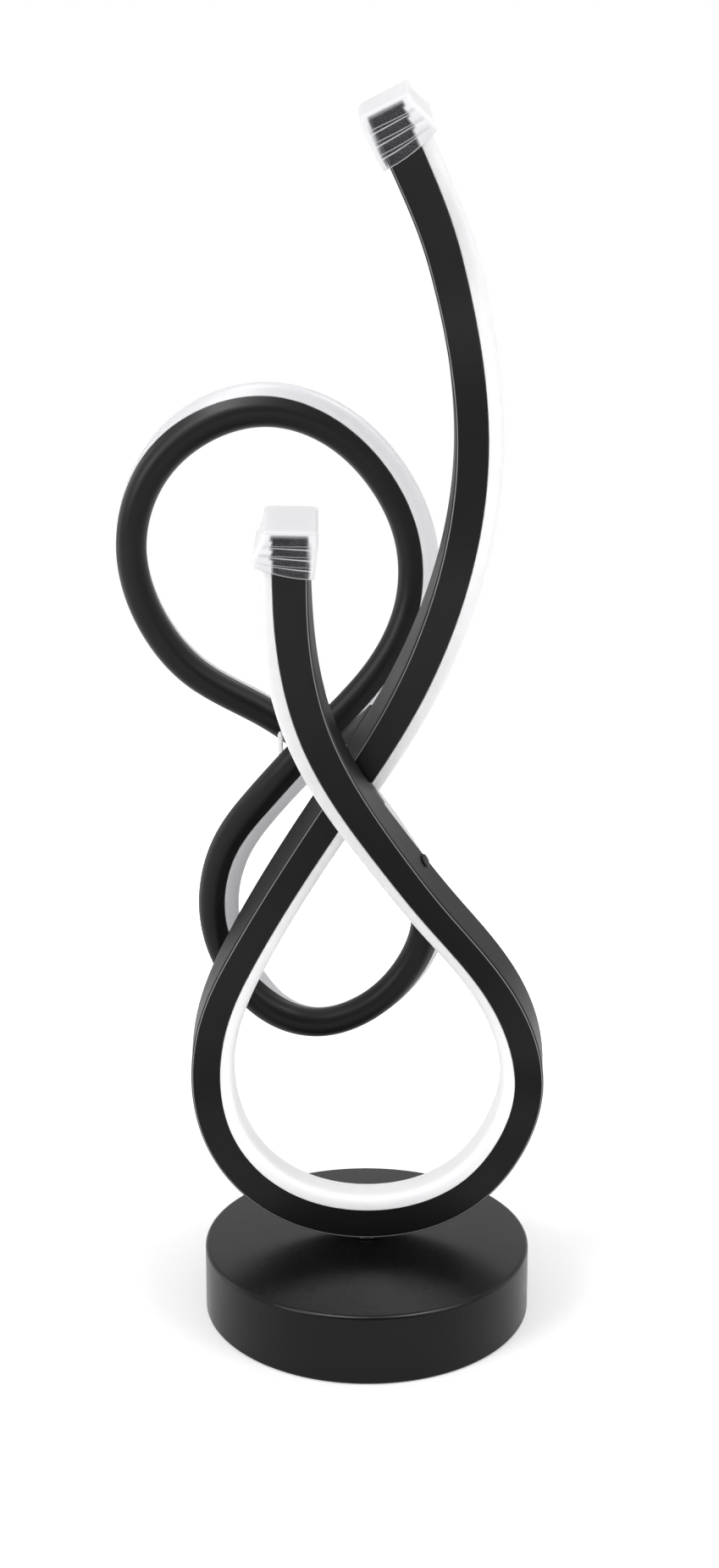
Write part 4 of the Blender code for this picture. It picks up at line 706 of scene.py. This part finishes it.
# Rear channel
# A slimmer aluminium channel with a half-round back, bent into a figure of eight and powder-coated with the
# front one. Its two ends butt under the bracket.
rear_route = bent_route([
    (-0.03520, 0.02604, 0.32590, 163), (-0.01240, 0.02884, 0.31870, 175), (0.00400, 0.03276, 0.30350, 177),
    (0.01480, 0.03598, 0.28110, 178), (0.01480, 0.03682, 0.25750, 174), (0.00200, 0.03402, 0.23150, 166),
    (-0.01840, 0.03206, 0.20990, 155), (-0.04240, 0.03598, 0.18390, 146), (-0.05480, 0.04004, 0.16710, 154),
    (-0.06160, 0.04326, 0.13790, 158), (-0.05520, 0.04396, 0.11510, 145), (-0.03480, 0.04396, 0.09510, 94),
    (-0.01880, 0.04396, 0.09190, 78), (-0.00200, 0.04480, 0.09670, 77), (0.01720, 0.04606, 0.11590, 63),
    (0.02240, 0.04718, 0.13710, 54), (0.01600, 0.04998, 0.15190, 60), (-0.00880, 0.05278, 0.18830, 74),
    (-0.03920, 0.04886, 0.21470, 81), (-0.06640, 0.04004, 0.23150, 83), (-0.08240, 0.03318, 0.25430, 90),
    (-0.08680, 0.02800, 0.28030, 100), (-0.07840, 0.02604, 0.30390, 115), (-0.06000, 0.02604, 0.31990, 145),
], closed=True)
rear_width, rear_depth, rear_wall, rear_pocket = 0.0112, 0.0086, 0.0012, 0.0048
rear_half, rear_mouth = rear_width / 2, rear_depth / 2
pocket, pocket_floor = rear_half - rear_wall, rear_mouth - rear_pocket
rear_section = np.vstack([
    [(-rear_half, rear_mouth)], arc(0.0, rear_half - rear_mouth, rear_half, 180.0, 360.0, 32),
    [(rear_half, rear_mouth), (pocket, rear_mouth), (pocket, pocket_floor), (-pocket, pocket_floor),
     (-pocket, rear_mouth)],
])
joint_share, butt_gap = 0.2470, 0.0006
rear_shares = joint_share + np.linspace(0.0, 1.0, 460) * (1.0 - butt_gap / rear_route.length)
rear_shares += butt_gap / 2 / rear_route.length
skinned("rear_bent_channel", carried(rear_section, rear_route, rear_shares), channel_paint,
        "rear_channel")


# Rear cover
# The same milky silicone, darker all over as painted shade, in a slimmer, taller dome that is pressed into
# the rear channel along its whole length.
rear_cover_height = 0.0066
rear_cover = cover_section(rear_width, rear_depth, rear_wall, rear_cover_height)
# This darker copy of the milky silicone is painted shade.
rear_silicone_painted_shade = milky("milky_silicone_painted_shade", rim=(0.78, 0.78, 0.80), body=(0.72, 0.72, 0.74),
                        crest=(0.74, 0.74, 0.76))
covered("rear_milky_cover", rear_cover, rear_route, rear_shares, rear_silicone_painted_shade, "rear_cover")


# Joining bracket
# A bent steel plate, painted with the channels, that holds the rear ribbon to the front one. Two low-headed
# screws fix it to the far side of the front strand and two to the near side of the rear one.
def beside(route, share, across, out):
    """A point beside a route: centre + across * side + out * mouth, at each share."""
    centre, _, side, mouth = route(share)
    return centre + across * side + out * mouth


bracket_half, bracket_thickness, seat_gap, fold = 0.009, 0.0012, 0.0005, 0.0014
front_tab, rear_tab, joint_front = 0.006, 0.0048, 0.7240
steps = np.linspace(-bracket_half, bracket_half, 29)
bracket_reach = seat_gap + bracket_thickness
far = bracket_thickness / 2 - bracket_reach - half
near = bracket_thickness / 2 - bracket_reach - rear_half
front_out, rear_out = front_corner - front_depth / 2, rear_depth / 2 - fit
front_steps = joint_front + steps / front_route.length
rear_steps = joint_share - steps / rear_route.length
tab_end = beside(front_route, front_steps, far, front_out + front_tab)
front_fold = beside(front_route, front_steps, far, front_out)
rear_fold = beside(rear_route, rear_steps, near, rear_out)
rear_end = beside(rear_route, rear_steps, near, rear_out - rear_tab)


def folded(before, corner, after):
    """A soft fold at a corner c between points a and b beside it: a (1-t)^2 + 2 c t (1-t) + b t^2."""
    enter = corner + (before - corner) * fold / np.linalg.norm(before - corner, axis=1)[:, None]
    leave = corner + (after - corner) * fold / np.linalg.norm(after - corner, axis=1)[:, None]
    t = np.linspace(0.0, 1.0, 7)[None, :, None]
    return enter[:, None] * (1 - t)**2 + 2 * corner[:, None] * t * (1 - t) + leave[:, None] * t**2


sheet = np.concatenate([
    tab_end[:, None], folded(tab_end, front_fold, rear_fold), folded(front_fold, rear_fold, rear_end),
    rear_end[:, None],
], axis=1)
rows, columns = sheet.shape[:2]
index = np.arange(rows * columns).reshape(rows, columns)
quads = np.stack([index[:-1, :-1], index[:-1, 1:], index[1:, 1:], index[1:, :-1]], axis=-1).reshape(-1, 4)
mesh = bpy.data.meshes.new("bent_bracket")
mesh.from_pydata(sheet.reshape(-1, 3).tolist(), [], quads.tolist())
mesh.shade_smooth()
mesh.materials.append(channel_paint)
bracket = bpy.data.objects.new("bent_bracket", mesh)
bpy.context.scene.collection.objects.link(bracket)
thick = bracket.modifiers.new("thickness", "SOLIDIFY")
thick.thickness = bracket_thickness
thick.offset = 0.0
thick.solidify_mode = "NON_MANIFOLD"
thick.nonmanifold_thickness_mode = "CONSTRAINTS"
eased = bracket.modifiers.new("eased_edges", "BEVEL")
eased.width = 0.0002
eased.segments = 2
eased.limit_method = "ANGLE"
eased.angle_limit = math.radians(50.0)
eased.harden_normals = True
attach(bracket, "root")
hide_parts("joining_bracket")


def button_screw(name, seat, axis, head_radius, grip, node, made_of, height=0.0008, deep=0.0005):
    """A low button head of that height on a plain shank, with a hexagon socket unless it is 0 deep.

    Each ring has radius r (1 - s) + s r cos(30) / cos(angle to the nearest flat), where s is 1 in the socket
    and 0 on the head, whose top is part of an ellipse.
    """
    head, shank, key, ease = 0.0003, 0.0009, 0.0006, 0.0001
    turn = np.linspace(0.0, math.tau, 48, endpoint=False)
    bow = np.radians(np.linspace(0.0, 62.0, 9))
    rise = head + ease + (height - ease) * np.sin(bow) / math.sin(bow[-1])
    rings = [(shank, -grip, 0), (shank, head, 0), (head_radius - ease, head, 0)]
    rings += [(across, up, 0) for across, up in zip(head_radius * np.cos(bow), rise)]
    rings += [(key + ease, head + height, 0)]
    if deep:
        rings += [(key, head + height - ease, 1), (key, head + height - deep, 1)]
    radius, high, square = np.array(rings).T[:, :, None]
    flat = math.cos(math.pi / 6) / np.cos(np.mod(turn, math.pi / 3) - math.pi / 6)
    radius = radius * (1 - square + square * flat)
    grid = np.stack([radius * np.cos(turn), radius * np.sin(turn), high + 0.0 * turn], axis=-1)
    skinned("button_" + name, set_on(grid, seat, axis), made_of, node)


screw_pitch, screw_head, clamp_head = 0.0075, 0.0014, 0.0026
front_middle = front_out + front_tab - fit - screw_head
rear_middle = rear_out - rear_tab + fit + screw_head
number = 0
for route, share, width, out_at, wall in (
    (front_route, joint_front, half, front_middle, front_wall),
    (rear_route, joint_share, rear_half, rear_middle, rear_wall),
):
    for step in (-screw_pitch / 2, screw_pitch / 2):
        number += 1
        on = [share + step / route.length]
        seat = beside(route, on, -width - bracket_reach - fit, out_at)[0]
        name = f"bracket_screw_{number}"
        button_screw(name, seat, -route(on)[2][0], screw_head, bracket_reach + wall + fit, name,
                     oxide)


# Crossing plate and clamp screw
# A thin painted plate lies between the two strands of the front ribbon where they cross, held by a screw
# from inside the near one. Lower down, a flat-headed screw in the near strand's back grips the light strip.
dressed(["crossing_plate"], paint)
dressed(["crossing_screw"], oxide)
clamp_share = [0.1945]
clamp_seat = beside(front_route, clamp_share, clamp_head - half, -front_depth / 2)[0]
button_screw("clamp_screw", clamp_seat, -front_route(clamp_share)[3][0], clamp_head, front_wall,
             "clamp_screw", channel_paint, height=0.0004, deep=0.0)


# Crossing post
# A pale moulded post between the two strands of the rear ribbon where they cross. A peg at each end sits in
# a blind hole in the channel's back.
def round_back(share, way):
    """How far the channel's round back lies from its centre that way: the circle's far crossing."""
    _, _, side, light = (part[0] for part in rear_route([share]))
    heading = np.array((way @ side, way @ light))
    size = np.linalg.norm(heading)
    middle = rear_half - rear_depth / 2
    heading /= size
    return (heading[1] * middle + math.sqrt(rear_half**2 - (heading[0] * middle)**2)) / size


upper_share, lower_share = 0.7347, 0.2725
low, high = rear_route([lower_share])[0][0], rear_route([upper_share])[0][0]
axis = (high - low) / np.linalg.norm(high - low)
post_gap = 3 * fit
start = round_back(lower_share, axis) + post_gap
length = np.linalg.norm(high - low) - start - round_back(upper_share, -axis) - post_gap
post_radius, peg_radius, peg_length, ease = 0.001, 0.0006, 0.0009, 0.00015
post_profile = [
    (peg_radius, length + peg_length), (peg_radius, length), (post_radius - ease, length),
    (post_radius, length - ease), (post_radius, length / 2), (post_radius, ease), (post_radius - ease, 0.0),
    (peg_radius, 0.0), (peg_radius, -peg_length),
]
post = set_on(spun(post_profile, 48), low + start * axis, axis)
pale_post = finish("pale_moulding", dark=(0.74, 0.75, 0.76), pale=(0.84, 0.85, 0.86), scale=400.0, dull=0.4,
                   shiny=0.3)
skinned("moulded_crossing_post", post, pale_post, "crossing_post")
